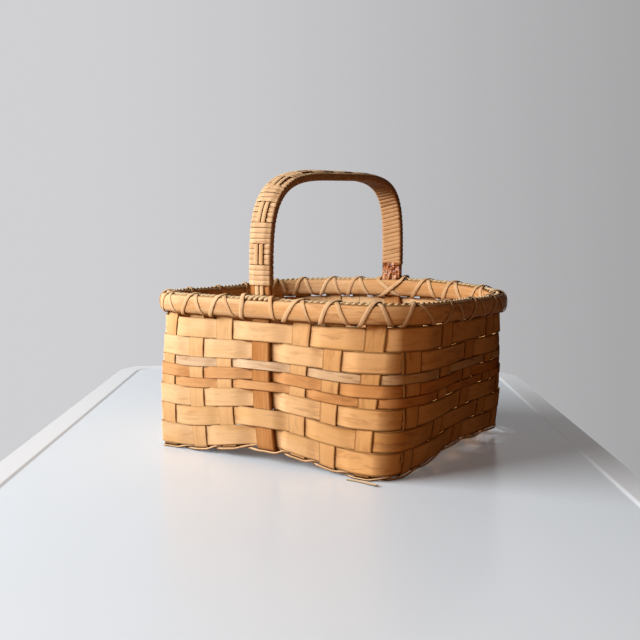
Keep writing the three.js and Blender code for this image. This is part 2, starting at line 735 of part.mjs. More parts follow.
crossAtBase.forEach((_, k) => {
  if (k !== handleIndex) add(`cross_stake_${k + 1}`, crossStake(k), paleSplint);
});
longAtBase.forEach((_, m) => add(`long_stake_${m + 1}`, longStake(m), paleSplint));
const weaverWood = [
  paleSplint,
  paleSplint,
  paleSplint,
  warmSplint,
  warmSplint,
  greySplint,
  paleSplint,
  paleSplint,
];
rows.forEach((row, j) => add(`weaver_${j + 1}`, weaver(row, j % 2 === 0), weaverWood[j]));
add("rim_weaver", weaver(rimRow, rows.length % 2 === 0), paleSplint);
add("handle_hoop", handleHoop(), hardwood);
add("twining_strand_1", twining(0), caneWood);
add("twining_strand_2", twining(1), caneWood);
add("outer_rim", rimHoop(1), rimWood, rim);
add("inner_rim", rimHoop(-1), rimWood, rim);
add("rim_filler", rimFiller(), grass, rim);
function addWinding(name, sections, perTurn, material, group) {
  add(name, loft(sections, false), material, group);
  console.log(`${name}: least gap between turns ${leastGap(sections, perTurn).toFixed(2)} mm`);
}
addWinding("rim_lashing_under", lashing(-1, 0), 6, caneWood, rim);
addWinding("rim_lashing_over", lashing(1, 1), 6, caneWood, rim);
addWinding("handle_wrap", handleWrap(), 4, caneWood);
add("handle_strap_1", handleStrap(-1), caneWood);
add("handle_strap_2", handleStrap(1), caneWood);

export default basket;
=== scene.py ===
# Harvest basket: woven splints, lashed rim and wrapped handle, in metres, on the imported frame.
import math
import bmesh
import bpy
import numpy as np
from mathutils import Matrix, Vector


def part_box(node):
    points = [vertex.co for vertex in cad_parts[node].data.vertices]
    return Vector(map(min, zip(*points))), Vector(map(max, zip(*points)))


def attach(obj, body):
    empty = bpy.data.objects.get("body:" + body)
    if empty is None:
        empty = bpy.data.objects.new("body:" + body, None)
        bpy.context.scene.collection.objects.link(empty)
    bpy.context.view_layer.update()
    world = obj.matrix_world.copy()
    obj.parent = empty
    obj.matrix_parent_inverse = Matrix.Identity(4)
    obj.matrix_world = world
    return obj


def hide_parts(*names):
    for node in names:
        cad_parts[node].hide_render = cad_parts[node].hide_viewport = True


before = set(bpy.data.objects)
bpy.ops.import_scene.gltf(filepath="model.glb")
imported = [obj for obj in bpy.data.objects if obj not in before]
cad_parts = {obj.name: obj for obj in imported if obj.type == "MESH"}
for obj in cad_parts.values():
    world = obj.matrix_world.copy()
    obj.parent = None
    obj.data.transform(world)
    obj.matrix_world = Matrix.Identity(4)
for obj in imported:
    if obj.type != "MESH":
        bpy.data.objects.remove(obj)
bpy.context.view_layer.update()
print("frame loaded:", len(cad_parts), "nodes")

mm = 0.001
up = np.array([0.0, 0.0, 1.0])
# How many points the curves are measured with
samples = {"rim": 2881, "search": 20001, "arch": 721}

# Sizes of the weave in millimetres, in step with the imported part. Rows are listed from the bottom, and stakes
# from the left or the front, by their places from the middle.
basket = {
    "thick": 1.1,
    "gap": 0.3,
    "rowGap": 0.4,
    "margin": 0.6,
    "rows": [16.9, 16.9, 16.9, 7.8, 10.2, 7.8, 16.9, 16.9],
    "rowWood": ["pale", "pale", "pale", "warm", "warm", "grey", "pale", "pale"],
    "rimRow": 13.0,
    "rimRowLow": 0.8,
    "stakeAtBase": 14.6,
    "stakeAtRim": 17.6,
    "stakeShort": 1.2,
    "baseLength": 236.0,
    "baseWidth": 232.0,
    "baseShift": 5.5,
    "leanX": 20.5,
    "leanY": -1.25,
    "bend": 4.6,
    "archX": (10.5, 90.0),
    "archY": (5.5, 76.0),
    "crossAtBase": [-101, -66, -34, 6, 37, 66, 98],
    "crossAtRim": [-105, -71, -39, 0, 41, 72, 105],
    "longAtBase": [-90, -46, 0, 44, 88],
    "longAtRim": [-86, -45, 0, 44, 86],
    "handleIndex": 3,
    "rimRoundness": 4.2,
    "wallBulge": 3.5,
    "firstRow": 0.3,
    "handleThick": 3.6,
    "handleWidth": 18.0,
    "sway": 0.45,
    "snug": 0.12,
}
rimLow, rimTop = (c.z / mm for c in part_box("outer_rim"))
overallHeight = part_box("handle_wrap")[1].z / mm
baseLevel = basket["thick"] + basket["gap"] / 2
wallFoot = baseLevel + basket["bend"]
rows = []
for rowWidth in basket["rows"]:
    rowLow = rows[-1][1] + basket["rowGap"] if rows else wallFoot + basket["firstRow"]
    rows.append((rowLow, rowLow + rowWidth))
rimRow = (rimLow + basket["rimRowLow"], rimLow + basket["rimRowLow"] + basket["rimRow"])


def unit(v):
    return v / np.linalg.norm(v, axis=-1, keepdims=True)


def lerp(a, b, t):
    return a + (b - a) * t


def ease(t):
    t = np.clip(t, 0, 1)
    return t * t * (3 - 2 * t)


def wander(count, size, step, seed):
    # A smooth random line: one value for each point, changing over about step points
    dice = np.random.default_rng(seed)
    knots = dice.uniform(-size, size, max(4, int(count / step) + 3))
    t = np.linspace(0, len(knots) - 1.001, count)
    i = t.astype(int)
    return lerp(knots[i], knots[np.minimum(i + 1, len(knots) - 1)], ease(t - i))


# The dome of the base, which fades out up the wall
def domeRise(points):
    def bump(q):
        return np.where(np.abs(q) < 1, (1 - q * q) ** 2, 0)

    riseX, reachX = basket["archX"]
    riseY, reachY = basket["archY"]
    fade = np.clip(1 - points[:, 2] / rimLow, 0, 1)
    along = riseX * bump((points[:, 0] - basket["baseShift"]) / reachX)
    across = riseY * bump(points[:, 1] / reachY)
    return (along + across) * fade


# How a hand-made basket has settled, in millimetres at each angle round it from the middle of the right end:
# the rim dips at the ends and rises at the back, and the far right corner stands off the table
settling = {
    "angle": [-168, -135, -112, -90, -45, 0, 36, 60, 76, 90, 112, 135, 160],
    "rim": [-3.2, -1.2, 0, 0, 0, -1.5, -3.0, 3.0, 4.4, 4.0, 2.8, -0.3, -3.8],
    "foot": [0, 0, 0, 0, 0, 1.4, 5.5, 3.5, 1.5, 0, 0, 0, 0],
    "soft": 9.0,
    "softReach": 30,
    "power": 1.1,
    "wallShare": 0.8,
    "handleEase": 25.0,
}
settleAngle = np.arange(-180, 180)
softSteps = np.arange(-settling["softReach"], settling["softReach"] + 1)
softWeight = np.exp(-((softSteps / settling["soft"]) ** 2))
softWeight = softWeight / softWeight.sum()

# The rim's line, with the length round it from the middle of the front
rimHalf = (basket["baseLength"] / 2 + basket["leanX"], basket["baseWidth"] / 2 + basket["leanY"])
rimAngle = np.linspace(0, 2 * np.pi, samples["rim"]) - np.pi / 2
roundness = basket["rimRoundness"]
rimReach = (
    np.abs(np.cos(rimAngle) / rimHalf[0]) ** roundness
    + np.abs(np.sin(rimAngle) / rimHalf[1]) ** roundness
) ** (-1 / roundness)
rimX, rimY = rimReach * np.cos(rimAngle), rimReach * np.sin(rimAngle)
rimRun = np.concatenate([[0], np.cumsum(np.hypot(np.diff(rimX), np.diff(rimY)))])
rimAround = rimRun[-1]
quarter = rimAround / 4


def onRim(length):
    length = np.mod(length, rimAround)
    x, y = np.interp(length, rimRun, rimX), np.interp(length, rimRun, rimY)

    def slope(v, half):
        return np.sign(v) * np.abs(v / half) ** (roundness - 1) / half

    out = unit(np.stack([slope(x, rimHalf[0]), slope(y, rimHalf[1]), np.zeros_like(x)], -1))
    return np.stack([x, y, np.zeros_like(x)], -1), out, np.cross(up, out)


def settledBy(key, angle):
    line = np.interp(settleAngle, settling["angle"], settling[key], period=360)
    padded = np.pad(line, settling["softReach"], mode="wrap")
    soft = np.convolve(padded, softWeight, "valid")
    return np.interp(angle, settleAngle, soft, period=360)


def settledRise(points):
    x, y, z = points.T
    angle = np.degrees(np.arctan2(y / rimHalf[1], x / rimHalf[0]))
    reach = (np.abs(x / rimHalf[0]) ** roundness + np.abs(y / rimHalf[1]) ** roundness) ** (1 / roundness)
    level = np.clip(z / rimTop, 0, 1) ** settling["power"]
    wall = settledBy("rim", angle) * level + settledBy("foot", angle) * (1 - level)
    wall = wall * ease(reach / settling["wallShare"])
    # The handle leans between its two legs
    above = lerp(settledBy("rim", -90), settledBy("rim", 90), (y / rimHalf[1] + 1) / 2)
    return lerp(wall, above, ease((z - rimTop) / settling["handleEase"]))


def rimLengthAt(axis, value, start):
    lengths = np.linspace(start, start + rimAround / 2, samples["search"])
    return lengths[np.argmin(np.abs(onRim(lengths)[0][:, axis] - value))]


# Stakes, anticlockwise from the left end of the front
def crossIsLow(k, m):
    return (k + m) % 2 == 0


weaveLift = (basket["thick"] + basket["gap"]) / 2
lastCross, lastLong = len(basket["crossAtBase"]) - 1, len(basket["longAtBase"]) - 1


def crossLift(k, m):
    return -weaveLift if crossIsLow(k, m) else weaveLift


def longLift(k, m):
    overHandle = (basket["handleThick"] + basket["thick"]) / 2 + basket["gap"]
    away = overHandle if k == basket["handleIndex"] else weaveLift
    return away if crossIsLow(k, m) else -away


def makeStake(foot, footOut, length, lift, isHandle=False):
    at, out, _ = onRim(length)
    return {
        "foot": np.array(foot, float),
        "footOut": np.array(footOut, float),
        "top": at + up * rimLow,
        "topOut": out,
        "length": length,
        "lift": lift,
        "isHandle": isHandle,
    }


def crossEnd(k, end, start):
    foot = (basket["crossAtBase"][k], end * basket["baseWidth"] / 2, 0)
    length = rimLengthAt(0, basket["crossAtRim"][k], start)
    isHandle = k == basket["handleIndex"]
    lift = 0 if isHandle else crossLift(k, 0 if end < 0 else lastLong)
    return makeStake(foot, (0, end, 0), length, lift, isHandle)


def longEnd(m, end, start):
    foot = (basket["baseShift"] + end * basket["baseLength"] / 2, basket["longAtBase"][m], 0)
    length = rimLengthAt(1, basket["longAtRim"][m], start)
    return makeStake(foot, (end, 0, 0), length, longLift(0 if end < 0 else lastCross, m))


frontStakes = [crossEnd(k, -1, -quarter) for k in range(lastCross + 1)]
backStakes = [crossEnd(k, 1, quarter) for k in range(lastCross + 1)]
rightStakes = [longEnd(m, 1, 0) for m in range(lastLong + 1)]
leftStakes = [longEnd(m, -1, 2 * quarter) for m in range(lastLong + 1)]
stakes = frontStakes + rightStakes + backStakes[::-1] + leftStakes[::-1]
for number, stake in enumerate(stakes):
    stake["number"] = number


def flare(z):
    return np.clip(z / rimLow, 0, 1)


def halfThick(stake):
    return (basket["handleThick"] if stake["isHandle"] else basket["thick"]) / 2


def stakeWidth(stake, z):
    if stake["isHandle"]:
        return np.full_like(np.asarray(z, float), basket["handleWidth"])
    return lerp(basket["stakeAtBase"], basket["stakeAtRim"], flare(z))


def outAt(stake, z):
    f = np.asarray(flare(z))[..., None]
    return unit(lerp(stake["footOut"], stake["topOut"], f))


def onStake(stake, z):
    z = np.asarray(z, float)
    f = np.asarray(flare(z))
    at = lerp(stake["foot"], stake["top"], f[..., None])
    at = at + outAt(stake, z) * (basket["wallBulge"] * np.sin(np.pi * f))[..., None]
    at[..., 2] = z
    return at


def isOutside(stake, rowNumber):
    return (stake["number"] + rowNumber) % 2 == 0


# How far a stake gives way, inwards under a weaver that passes outside it
def swayAt(stake, z):
    if stake["isHandle"]:
        return np.zeros_like(z)
    heights = [wallFoot] + [(low + high) / 2 for low, high in rows] + [rimRow[0]]
    gives = [-1 if isOutside(stake, j) else 1 for j in range(len(rows))]
    values = np.array([0] + gives + [0]) * basket["sway"]
    i = np.clip(np.searchsorted(heights, z) - 1, 0, len(heights) - 2)
    heights = np.array(heights)
    share = ease((z - heights[i]) / (heights[i + 1] - heights[i]))
    return lerp(values[i], values[i + 1], share)


def stretch(stake, low, high):
    a, b = onStake(stake, low), onStake(stake, high)
    rise = unit(b - a)
    along = np.cross(up, outAt(stake, (low + high) / 2))
    return (a + b) / 2, rise, along, np.cross(along, rise)


# A path: centres, two directions, half width and half thickness, for every section, in millimetres
def makePath(centre, side, out, halfWidth, halfThickness, isClosed=False):
    centre = np.asarray(centre, float)
    count = len(centre)
    spread = np.stack([np.broadcast_to(halfWidth, count), np.broadcast_to(halfThickness, count)], -1)
    return {
        "centre": centre,
        "side": np.broadcast_to(side, (count, 3)),
        "out": np.broadcast_to(out, (count, 3)),
        "half": spread.astype(float),
        "isClosed": isClosed,
    }


# Cuts a closed path open and lets its two ends taper past each other, as a lapped splint does
def lapped(path, first, lap):
    count = len(path["centre"])
    order = np.roll(np.arange(count), -first)
    steps = np.linalg.norm(path["centre"][np.roll(order, -1)] - path["centre"][order], axis=1)
    run = np.concatenate([[0], np.cumsum(steps)])
    around, run = run[-1], run[:-1]
    extra = int(np.searchsorted(run, lap)) + 1
    thinnest = 0.06
    index = np.concatenate([order, order[:extra]])
    runs = np.concatenate([run, around + run[:extra]])
    start, end = np.clip(runs / lap, 0, 1), np.clip((runs - around) / lap, 0, 1)
    half = path["half"][index].copy()
    shift = (end - (1 - start)) * half[:, 1]
    half[:, 1] *= np.maximum(start * (1 - end), thinnest)
    centre = path["centre"][index] + path["out"][index] * shift[:, None]
    return {
        "centre": centre,
        "side": path["side"][index],
        "out": path["out"][index],
        "half": half,
        "isClosed": False,
    }


# Node trees. A wire is a socket that takes sums and products as Python does.
class Wire:
    def __init__(self, tree, socket):
        self.tree = tree
        self.socket = socket

    def isVector(self):
        return self.socket.type == "VECTOR"

    def math(self, operation, first, second=None, third=None):
        sockets = [v for v in (first, second, third) if v is not None]
        vectors = [
            v.isVector() if isinstance(v, Wire) else isinstance(v, (tuple, Vector)) for v in sockets
        ]
        kind = "ShaderNodeVectorMath" if any(vectors) else "ShaderNodeMath"
        if any(vectors) and not all(vectors) and operation == "MULTIPLY":
            vector, scale = sockets if vectors[0] else sockets[::-1]
            operation, sockets = "SCALE", {"Vector": vector, "Scale": scale}
        made = addNode(self.tree, kind, {"operation": operation}, sockets)
        return Wire(self.tree, made.outputs[0])

    def __add__(self, other):
        return self.math("ADD", self, other)

    def __radd__(self, other):
        return self.math("ADD", other, self)

    def __sub__(self, other):
        return self.math("SUBTRACT", self, other)

    def __rsub__(self, other):
        return self.math("SUBTRACT", other, self)

    def __mul__(self, other):
        return self.math("MULTIPLY", self, other)

    def __rmul__(self, other):
        return self.math("MULTIPLY", other, self)

    def __truediv__(self, other):
        return self.math("DIVIDE", self, other)

    def __pow__(self, other):
        return self.math("POWER", self, other)

    def clipped(self, low=0.0, high=1.0):
        return self.math("MINIMUM", self.math("MAXIMUM", self, low), high)


def addNode(tree, kind, settings=None, sockets=None):
    node = tree.nodes.new(kind)
    for key, value in (settings or {}).items():
        setattr(node, key, value)
    pairs = enumerate(sockets) if isinstance(sockets, (list, tuple)) else (sockets or {}).items()
    for key, value in pairs:
        if isinstance(value, Wire):
            value = value.socket
        if isinstance(value, bpy.types.NodeSocket):
            tree.links.new(value, node.inputs[key])
        else:
            node.inputs[key].default_value = value
    return node


# Geometry Nodes: a profile is carried along a path whose points say where its corners go
def newGraph(name, inputs):
    tree = bpy.data.node_groups.new(name, "GeometryNodeTree")
    tree.interface.new_socket("Geometry", in_out="INPUT", socket_type="NodeSocketGeometry")
    for key, kind in inputs.items():
        tree.interface.new_socket(key, in_out="INPUT", socket_type=kind)
    tree.interface.new_socket("Geometry", in_out="OUTPUT", socket_type="NodeSocketGeometry")
    entry = tree.nodes.new("NodeGroupInput")
    wires = {s.name: Wire(tree, s) for s in entry.outputs if s.name}
    return tree, wires


def namedVector(tree, name):
    node = addNode(tree, "GeometryNodeInputNamedAttribute", {"data_type": "FLOAT_VECTOR"}, {"Name": name})
    return Wire(tree, node.outputs["Attribute"])


def parts(tree, vector):
    node = addNode(tree, "ShaderNodeSeparateXYZ", None, [vector])
    return [Wire(tree, s) for s in node.outputs]


def endGraph(tree, geometry, material):
    real = addNode(tree, "GeometryNodeRealizeInstances", None, [geometry])
    sockets = {"Geometry": real.outputs[0], "Material": material}
    painted = addNode(tree, "GeometryNodeSetMaterial", None, sockets)
    leave = tree.nodes.new("NodeGroupOutput")
    tree.links.new(painted.outputs[0], leave.inputs[0])


def moved(tree, geometry, place):
    sockets = {"Geometry": geometry, "Position": place}
    return addNode(tree, "GeometryNodeSetPosition", None, sockets).outputs[0]


def combined(tree, values):
    return addNode(tree, "ShaderNodeCombineXYZ", None, values).outputs[0]


def marked(tree, geometry, name, value):
    kind = {"data_type": "FLOAT_VECTOR", "domain": "POINT"}
    sockets = {"Geometry": geometry, "Name": name, "Value": value}
    return addNode(tree, "GeometryNodeStoreNamedAttribute", kind, sockets).outputs[0]


def carried(tree, path, outline):
    sockets = {"Curve": path, "Profile Curve": outline, "Fill Caps": True}
    return addNode(tree, "GeometryNodeCurveToMesh", None, sockets).outputs[0]


def sweepGraph():
    tree, given = newGraph(
        "sweepAlongPath",
        {"Profile": "NodeSocketObject", "Corner radius": "NodeSocketFloat", "Material": "NodeSocketMaterial"},
    )
    profile = addNode(tree, "GeometryNodeObjectInfo", None, {"Object": given["Profile"]})
    outline = addNode(tree, "GeometryNodeMeshToCurve", None, {"Mesh": profile.outputs["Geometry"]})
    path = addNode(tree, "GeometryNodeMeshToCurve", None, {"Mesh": given["Geometry"]})
    swept = carried(tree, path.outputs[0], outline.outputs[0])
    centre, side, out, half, grain = (
        namedVector(tree, name) for name in ("centre", "side", "out", "half", "grain")
    )
    spotX, spotY, _ = parts(tree, namedVector(tree, "spot"))
    roundX, roundY, _ = parts(tree, namedVector(tree, "round"))
    halfWidth, halfHeight, _ = parts(tree, half)
    radius = given["Corner radius"]
    across = spotX * (halfWidth - radius) + roundX * radius
    outward = spotY * (halfHeight - radius) + roundY * radius
    shaped = moved(tree, swept, centre + side * across + out * outward)
    along, _, seed = parts(tree, grain)
    grained = marked(tree, shaped, "grain", combined(tree, [along, across, seed]))
    edged = marked(tree, grained, "edge", combined(tree, [spotX, spotY, 0.0]))
    smooth = addNode(tree, "GeometryNodeSetShadeSmooth", None, {"Geometry": edged})
    endGraph(tree, smooth.outputs[0], given["Material"])
    return tree


# A cord of two strands that turn round a path
def twistGraph():
    tree, given = newGraph(
        "twistedCord",
        {
            "Strand radius": "NodeSocketFloat",
            "Orbit": "NodeSocketFloat",
            "Lay length": "NodeSocketFloat",
            "Sides": "NodeSocketInt",
            "Material": "NodeSocketMaterial",
        },
    )
    path = addNode(tree, "GeometryNodeMeshToCurve", None, {"Mesh": given["Geometry"]})
    sockets = {"Resolution": given["Sides"], "Radius": given["Strand radius"]}
    ring = addNode(tree, "GeometryNodeCurvePrimitiveCircle", None, sockets)
    centre, side, out, grain = (namedVector(tree, name) for name in ("centre", "side", "out", "grain"))
    along, _, seed = parts(tree, grain)
    join = tree.nodes.new("GeometryNodeJoinGeometry")
    strandCount = 2
    for strand in range(strandCount):
        angle = along / given["Lay length"] * (2 * math.pi) + 2 * math.pi * strand / strandCount
        cosine, sine = angle.math("COSINE", angle), angle.math("SINE", angle)
        place = centre + side * (cosine * given["Orbit"]) + out * (sine * given["Orbit"])
        turned = moved(tree, path.outputs[0], place)
        grained = marked(tree, turned, "grain", combined(tree, [along, angle, seed + strand]))
        tree.links.new(carried(tree, grained, ring.outputs[0]), join.inputs[0])
    smooth = addNode(tree, "GeometryNodeSetShadeSmooth", None, {"Geometry": join.outputs[0]})
    endGraph(tree, smooth.outputs[0], given["Material"])
    return tree


# Profiles, as closed outlines. spot is the corner's place from -1 to 1, round the direction of its rounding.
def profileObject(name, spots, rounds):
    mesh = bpy.data.meshes.new(name)
    count = len(spots)
    points = [(x, y, 0) for x, y in spots]
    mesh.from_pydata(points, [(i, (i + 1) % count) for i in range(count)], [])
    for key, values in (("spot", spots), ("round", rounds)):
        attribute = mesh.attributes.new(key, "FLOAT_VECTOR", "POINT")
        flat = np.array([(x, y, 0) for x, y in values], np.float32)
        attribute.data.foreach_set("vector", flat.ravel())
    made = bpy.data.objects.new(name, mesh)
    bpy.context.scene.collection.objects.link(made)
    return made


def flatProfile(name, faceSpots, arcSteps):
    # A flat strip with rounded corners. faceSpots are the places of extra points across each face.
    spots, rounds = [], []
    for signX, signY, turn in ((1, 1, 0), (-1, 1, 90), (-1, -1, 180), (1, -1, 270)):
        for i in range(arcSteps + 1):
            angle = math.radians(turn + 90 * i / arcSteps)
            spots.append((signX, signY))
            rounds.append((math.cos(angle), math.sin(angle)))
        if turn == 0:
            spots += [(x, 1) for x in sorted(faceSpots, reverse=True)]
            rounds += [(0, 1)] * len(faceSpots)
        if turn == 180:
            spots += [(x, -1) for x in sorted(faceSpots)]
            rounds += [(0, -1)] * len(faceSpots)
    return profileObject(name, spots, rounds)


def domeSpots(steps, power, foot):
    # foot is the height of the straight sides as a share of the whole
    spots = []
    for angle in np.linspace(0, math.pi, steps + 1):
        x = math.copysign(abs(math.cos(angle)) ** power, math.cos(angle))
        spots.append((x, -1 + 2 * foot + (2 - 2 * foot) * math.sin(angle) ** power))
    return spots


def domedProfile(name, steps, power, foot):
    # Flat below and rounded above, as split reed is
    spots = domeSpots(steps, power, foot) + [(x, -1) for x in (-1, -0.5, 0, 0.5, 1)]
    return profileObject(name, spots, [(0, 0)] * len(spots))


def archedProfile(name, steps, foot, power=0.6):
    # Flat below and gently arched above, with upright sides as split cane has
    spots = []
    for angle in np.linspace(0, math.pi, steps + 1):
        x = math.cos(angle)
        spots.append((x, -1 + 2 * foot + (2 - 2 * foot) * (1 - x * x) ** power))
    spots += [(x, -1) for x in (-1, 0, 1)]
    return profileObject(name, spots, [(0, 0)] * len(spots))


def roundedProfile(name, sides):
    angles = np.linspace(0, 2 * np.pi, sides, endpoint=False)
    return profileObject(name, [(math.cos(a), math.sin(a)) for a in angles], [(0, 0)] * sides)


sweepTree = sweepGraph()
twistTree = twistGraph()
reedShape = {"steps": 14, "power": 0.78, "foot": 0.1}
splintProfile = flatProfile("splintProfile", (-0.93, -0.5, 0, 0.5, 0.93), 2)
handleProfile = flatProfile("handleProfile", (-0.85, 0, 0.85), 3)
reedProfile = domedProfile("reedProfile", **reedShape)
caneProfile = archedProfile("caneProfile", 8, 0.55)
wrapProfile = archedProfile("wrapProfile", 8, 0.45)
roundProfile = roundedProfile("roundProfile", 10)


def pathObject(name, path, seed):
    mesh = bpy.data.meshes.new(name)
    centre = path["centre"] * mm
    count = len(centre)
    ends = count if path["isClosed"] else count - 1
    mesh.from_pydata(centre.tolist(), [(i, (i + 1) % count) for i in range(ends)], [])
    run = np.concatenate([[0], np.cumsum(np.linalg.norm(np.diff(centre, axis=0), axis=1))])
    columns = {
        "centre": centre,
        "side": path["side"],
        "out": path["out"],
        "half": np.column_stack([path["half"] * mm, np.zeros(count)]),
        "grain": np.column_stack([run, np.zeros(count), np.full(count, float(seed))]),
    }
    for key, values in columns.items():
        attribute = mesh.attributes.new(key, "FLOAT_VECTOR", "POINT")
        attribute.data.foreach_set("vector", np.ascontiguousarray(values, np.float32).ravel())
    made = bpy.data.objects.new(name, mesh)
    bpy.context.scene.collection.objects.link(made)
    return made


def applyGraph(made, tree, values):
    modifier = made.modifiers.new(tree.name, "NODES")
    modifier.node_group = tree
    for item in tree.interface.items_tree:
        if item.in_out == "INPUT" and item.name in values:
            modifier[item.identifier] = values[item.name]
    depsgraph = bpy.context.evaluated_depsgraph_get()
    mesh = bpy.data.meshes.new_from_object(made.evaluated_get(depsgraph), depsgraph=depsgraph)
    made.modifiers.clear()
    made.data = mesh
    mesh.name = made.name
    for key in ("centre", "side", "out", "half", "spot", "round"):
        if key in mesh.attributes:
            mesh.attributes.remove(mesh.attributes[key])


def pointsOf(mesh):
    points = np.zeros(len(mesh.vertices) * 3, np.float32)
    mesh.vertices.foreach_get("co", points)
    return points.reshape(-1, 3).astype(float)


def setPoints(mesh, points):
    mesh.vertices.foreach_set("co", np.ascontiguousarray(points, np.float32).ravel())
    mesh.update()


# Bends a finished piece to the dome of the base and the settled wall, and turns its faces outwards
def settle(made, isDomed):
    points = pointsOf(made.data)
    rise = settledRise(points / mm)
    if isDomed:
        rise += domeRise(points / mm)
    points[:, 2] = np.maximum(points[:, 2] + rise * mm, 0)
    setPoints(made.data, points)
    work = bmesh.new()
    work.from_mesh(made.data)
    if work.calc_volume(signed=True) < 0:
        bmesh.ops.reverse_faces(work, faces=work.faces)
    work.to_mesh(made.data)
    work.free()


def finishPiece(made, nodes):
    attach(made, "root")
    if nodes:
        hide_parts(*nodes)


def sweep(name, path, profile, cornerRadius, material, slot, nodes, seed=0, isDomed=False):
    made = pathObject(name, path, seed)
    values = {"Profile": profile, "Corner radius": cornerRadius * mm, "Material": material}
    applyGraph(made, sweepTree, values)
    settle(made, isDomed)
    finishPiece(made, nodes)
    return made


# Materials
class Finish:
    def __init__(self, name, tree=None):
        if tree:
            self.tree = tree
            return
        self.material = bpy.data.materials.new(name)
        self.material.use_nodes = True
        self.tree = self.material.node_tree
        self.shader = self.tree.nodes["Principled BSDF"]

    def node(self, kind, settings=None, sockets=None, output=0):
        return Wire(self.tree, addNode(self.tree, kind, settings, sockets).outputs[output])

    def vector(self, x, y, z):
        return self.node("ShaderNodeCombineXYZ", None, [x, y, z])

    def attribute(self, name):
        read = self.node("ShaderNodeAttribute", {"attribute_name": name}, None, "Vector")
        return parts(self.tree, read)

    def noise(self, vector, scale=1.0, detail=2.0, roughness=0.5, distortion=0.0):
        sockets = {
            "Vector": vector,
            "Scale": scale,
            "Detail": detail,
            "Roughness": roughness,
            "Distortion": distortion,
        }
        return self.node("ShaderNodeTexNoise", None, sockets)

    def span(self, value, low, high):
        sockets = {"Value": value, "From Min": low, "From Max": high}
        return self.node("ShaderNodeMapRange", {"interpolation_type": "SMOOTHSTEP"}, sockets)

    def mix(self, factor, first, second, blend="MIX"):
        # A mix node has sockets of every kind: its colours are 6 and 7, and the mixed colour is 2
        made = addNode(self.tree, "ShaderNodeMix", {"data_type": "RGBA", "blend_type": blend})
        for index, value in ((0, factor), (6, first), (7, second)):
            if isinstance(value, Wire):
                self.tree.links.new(value.socket, made.inputs[index])
            else:
                made.inputs[index].default_value = value if index == 0 else (*value, 1)
        return Wire(self.tree, made.outputs[2])

    def use(self, **values):
        for key, value in values.items():
            name = {
                "colour": "Base Color",
                "roughness": "Roughness",
                "normal": "Normal",
                "coat": "Coat Weight",
                "coatRoughness": "Coat Roughness",
                "specular": "Specular IOR Level",
            }[key]
            if isinstance(value, Wire):
                self.tree.links.new(value.socket, self.shader.inputs[name])
            else:
                self.shader.inputs[name].default_value = value

    def bump(self, height, strength, distance):
        sockets = {"Height": height, "Strength": strength, "Distance": distance}
        return self.node("ShaderNodeBump", None, sockets)


def hexColour(code):
    # A written colour as the linear values that Blender works in
    values = [int(code[i : i + 2], 16) / 255 for i in (0, 2, 4)]
    return tuple(v / 12.92 if v <= 0.04045 else ((v + 0.055) / 1.055) ** 2.4 for v in values)


# Painted shade and the wood's own marks, with places in metres. Painted shade darkens the right side, the back,
# the gaps, the strips' edges and the handle's sides and underside; smudges and pores are the wood's own tone
wearAndShade = {
    "rightShade": (-0.02, 0.13),
    "rightShadeTint": (0.97, 0.835, 0.65),
    "rightShadeSmudge": 0.2,
    "rightShadeEdge": (0.06, 0.5),
    "back": (0.0, 0.12),
    "backShadeTint": (0.72, 0.62, 0.54),
    "smudgeTone": "a56d45",
    "handleShadeTone": "5a2c12",
    "handleShadeSide": (0.5, 0.95),
    "handleShadeBelow": (0.4, 0.9),
    "creviceShadeTone": "260b01",
    "creviceShadeReach": 0.007,
    "creviceShadeSpan": (0.34, 0.66),
    "creviceShadeShare": 0.93,
    "edgeShade": 0.5,
    "poreShade": 0.45,
}

# What the layers of the grain do: their shares in the tone, and the spans of noise in which each mark shows
grainLook = {
    "seedStep": 3.7,
    "streakShare": 2.0,
    "hairShare": 1.1,
    "driftShare": 0.9,
    "level": 0.42,
    "pieceShare": 0.5,
    "warmSpan": (0.5, 0.78),
    "warmShare": 0.5,
    "warmPiece": 0.3,
    "smudgeSpan": (0.5, 0.7),
    "poreSpan": (0.66, 0.78),
    "poreShare": 0.35,
    "edgeSpan": (0.87, 1.0),
    "relief": (0.6, 0.4),
    "depth": 0.0003,
    "roughSwing": 0.3,
    "roughSpan": (0.25, 0.9),
}
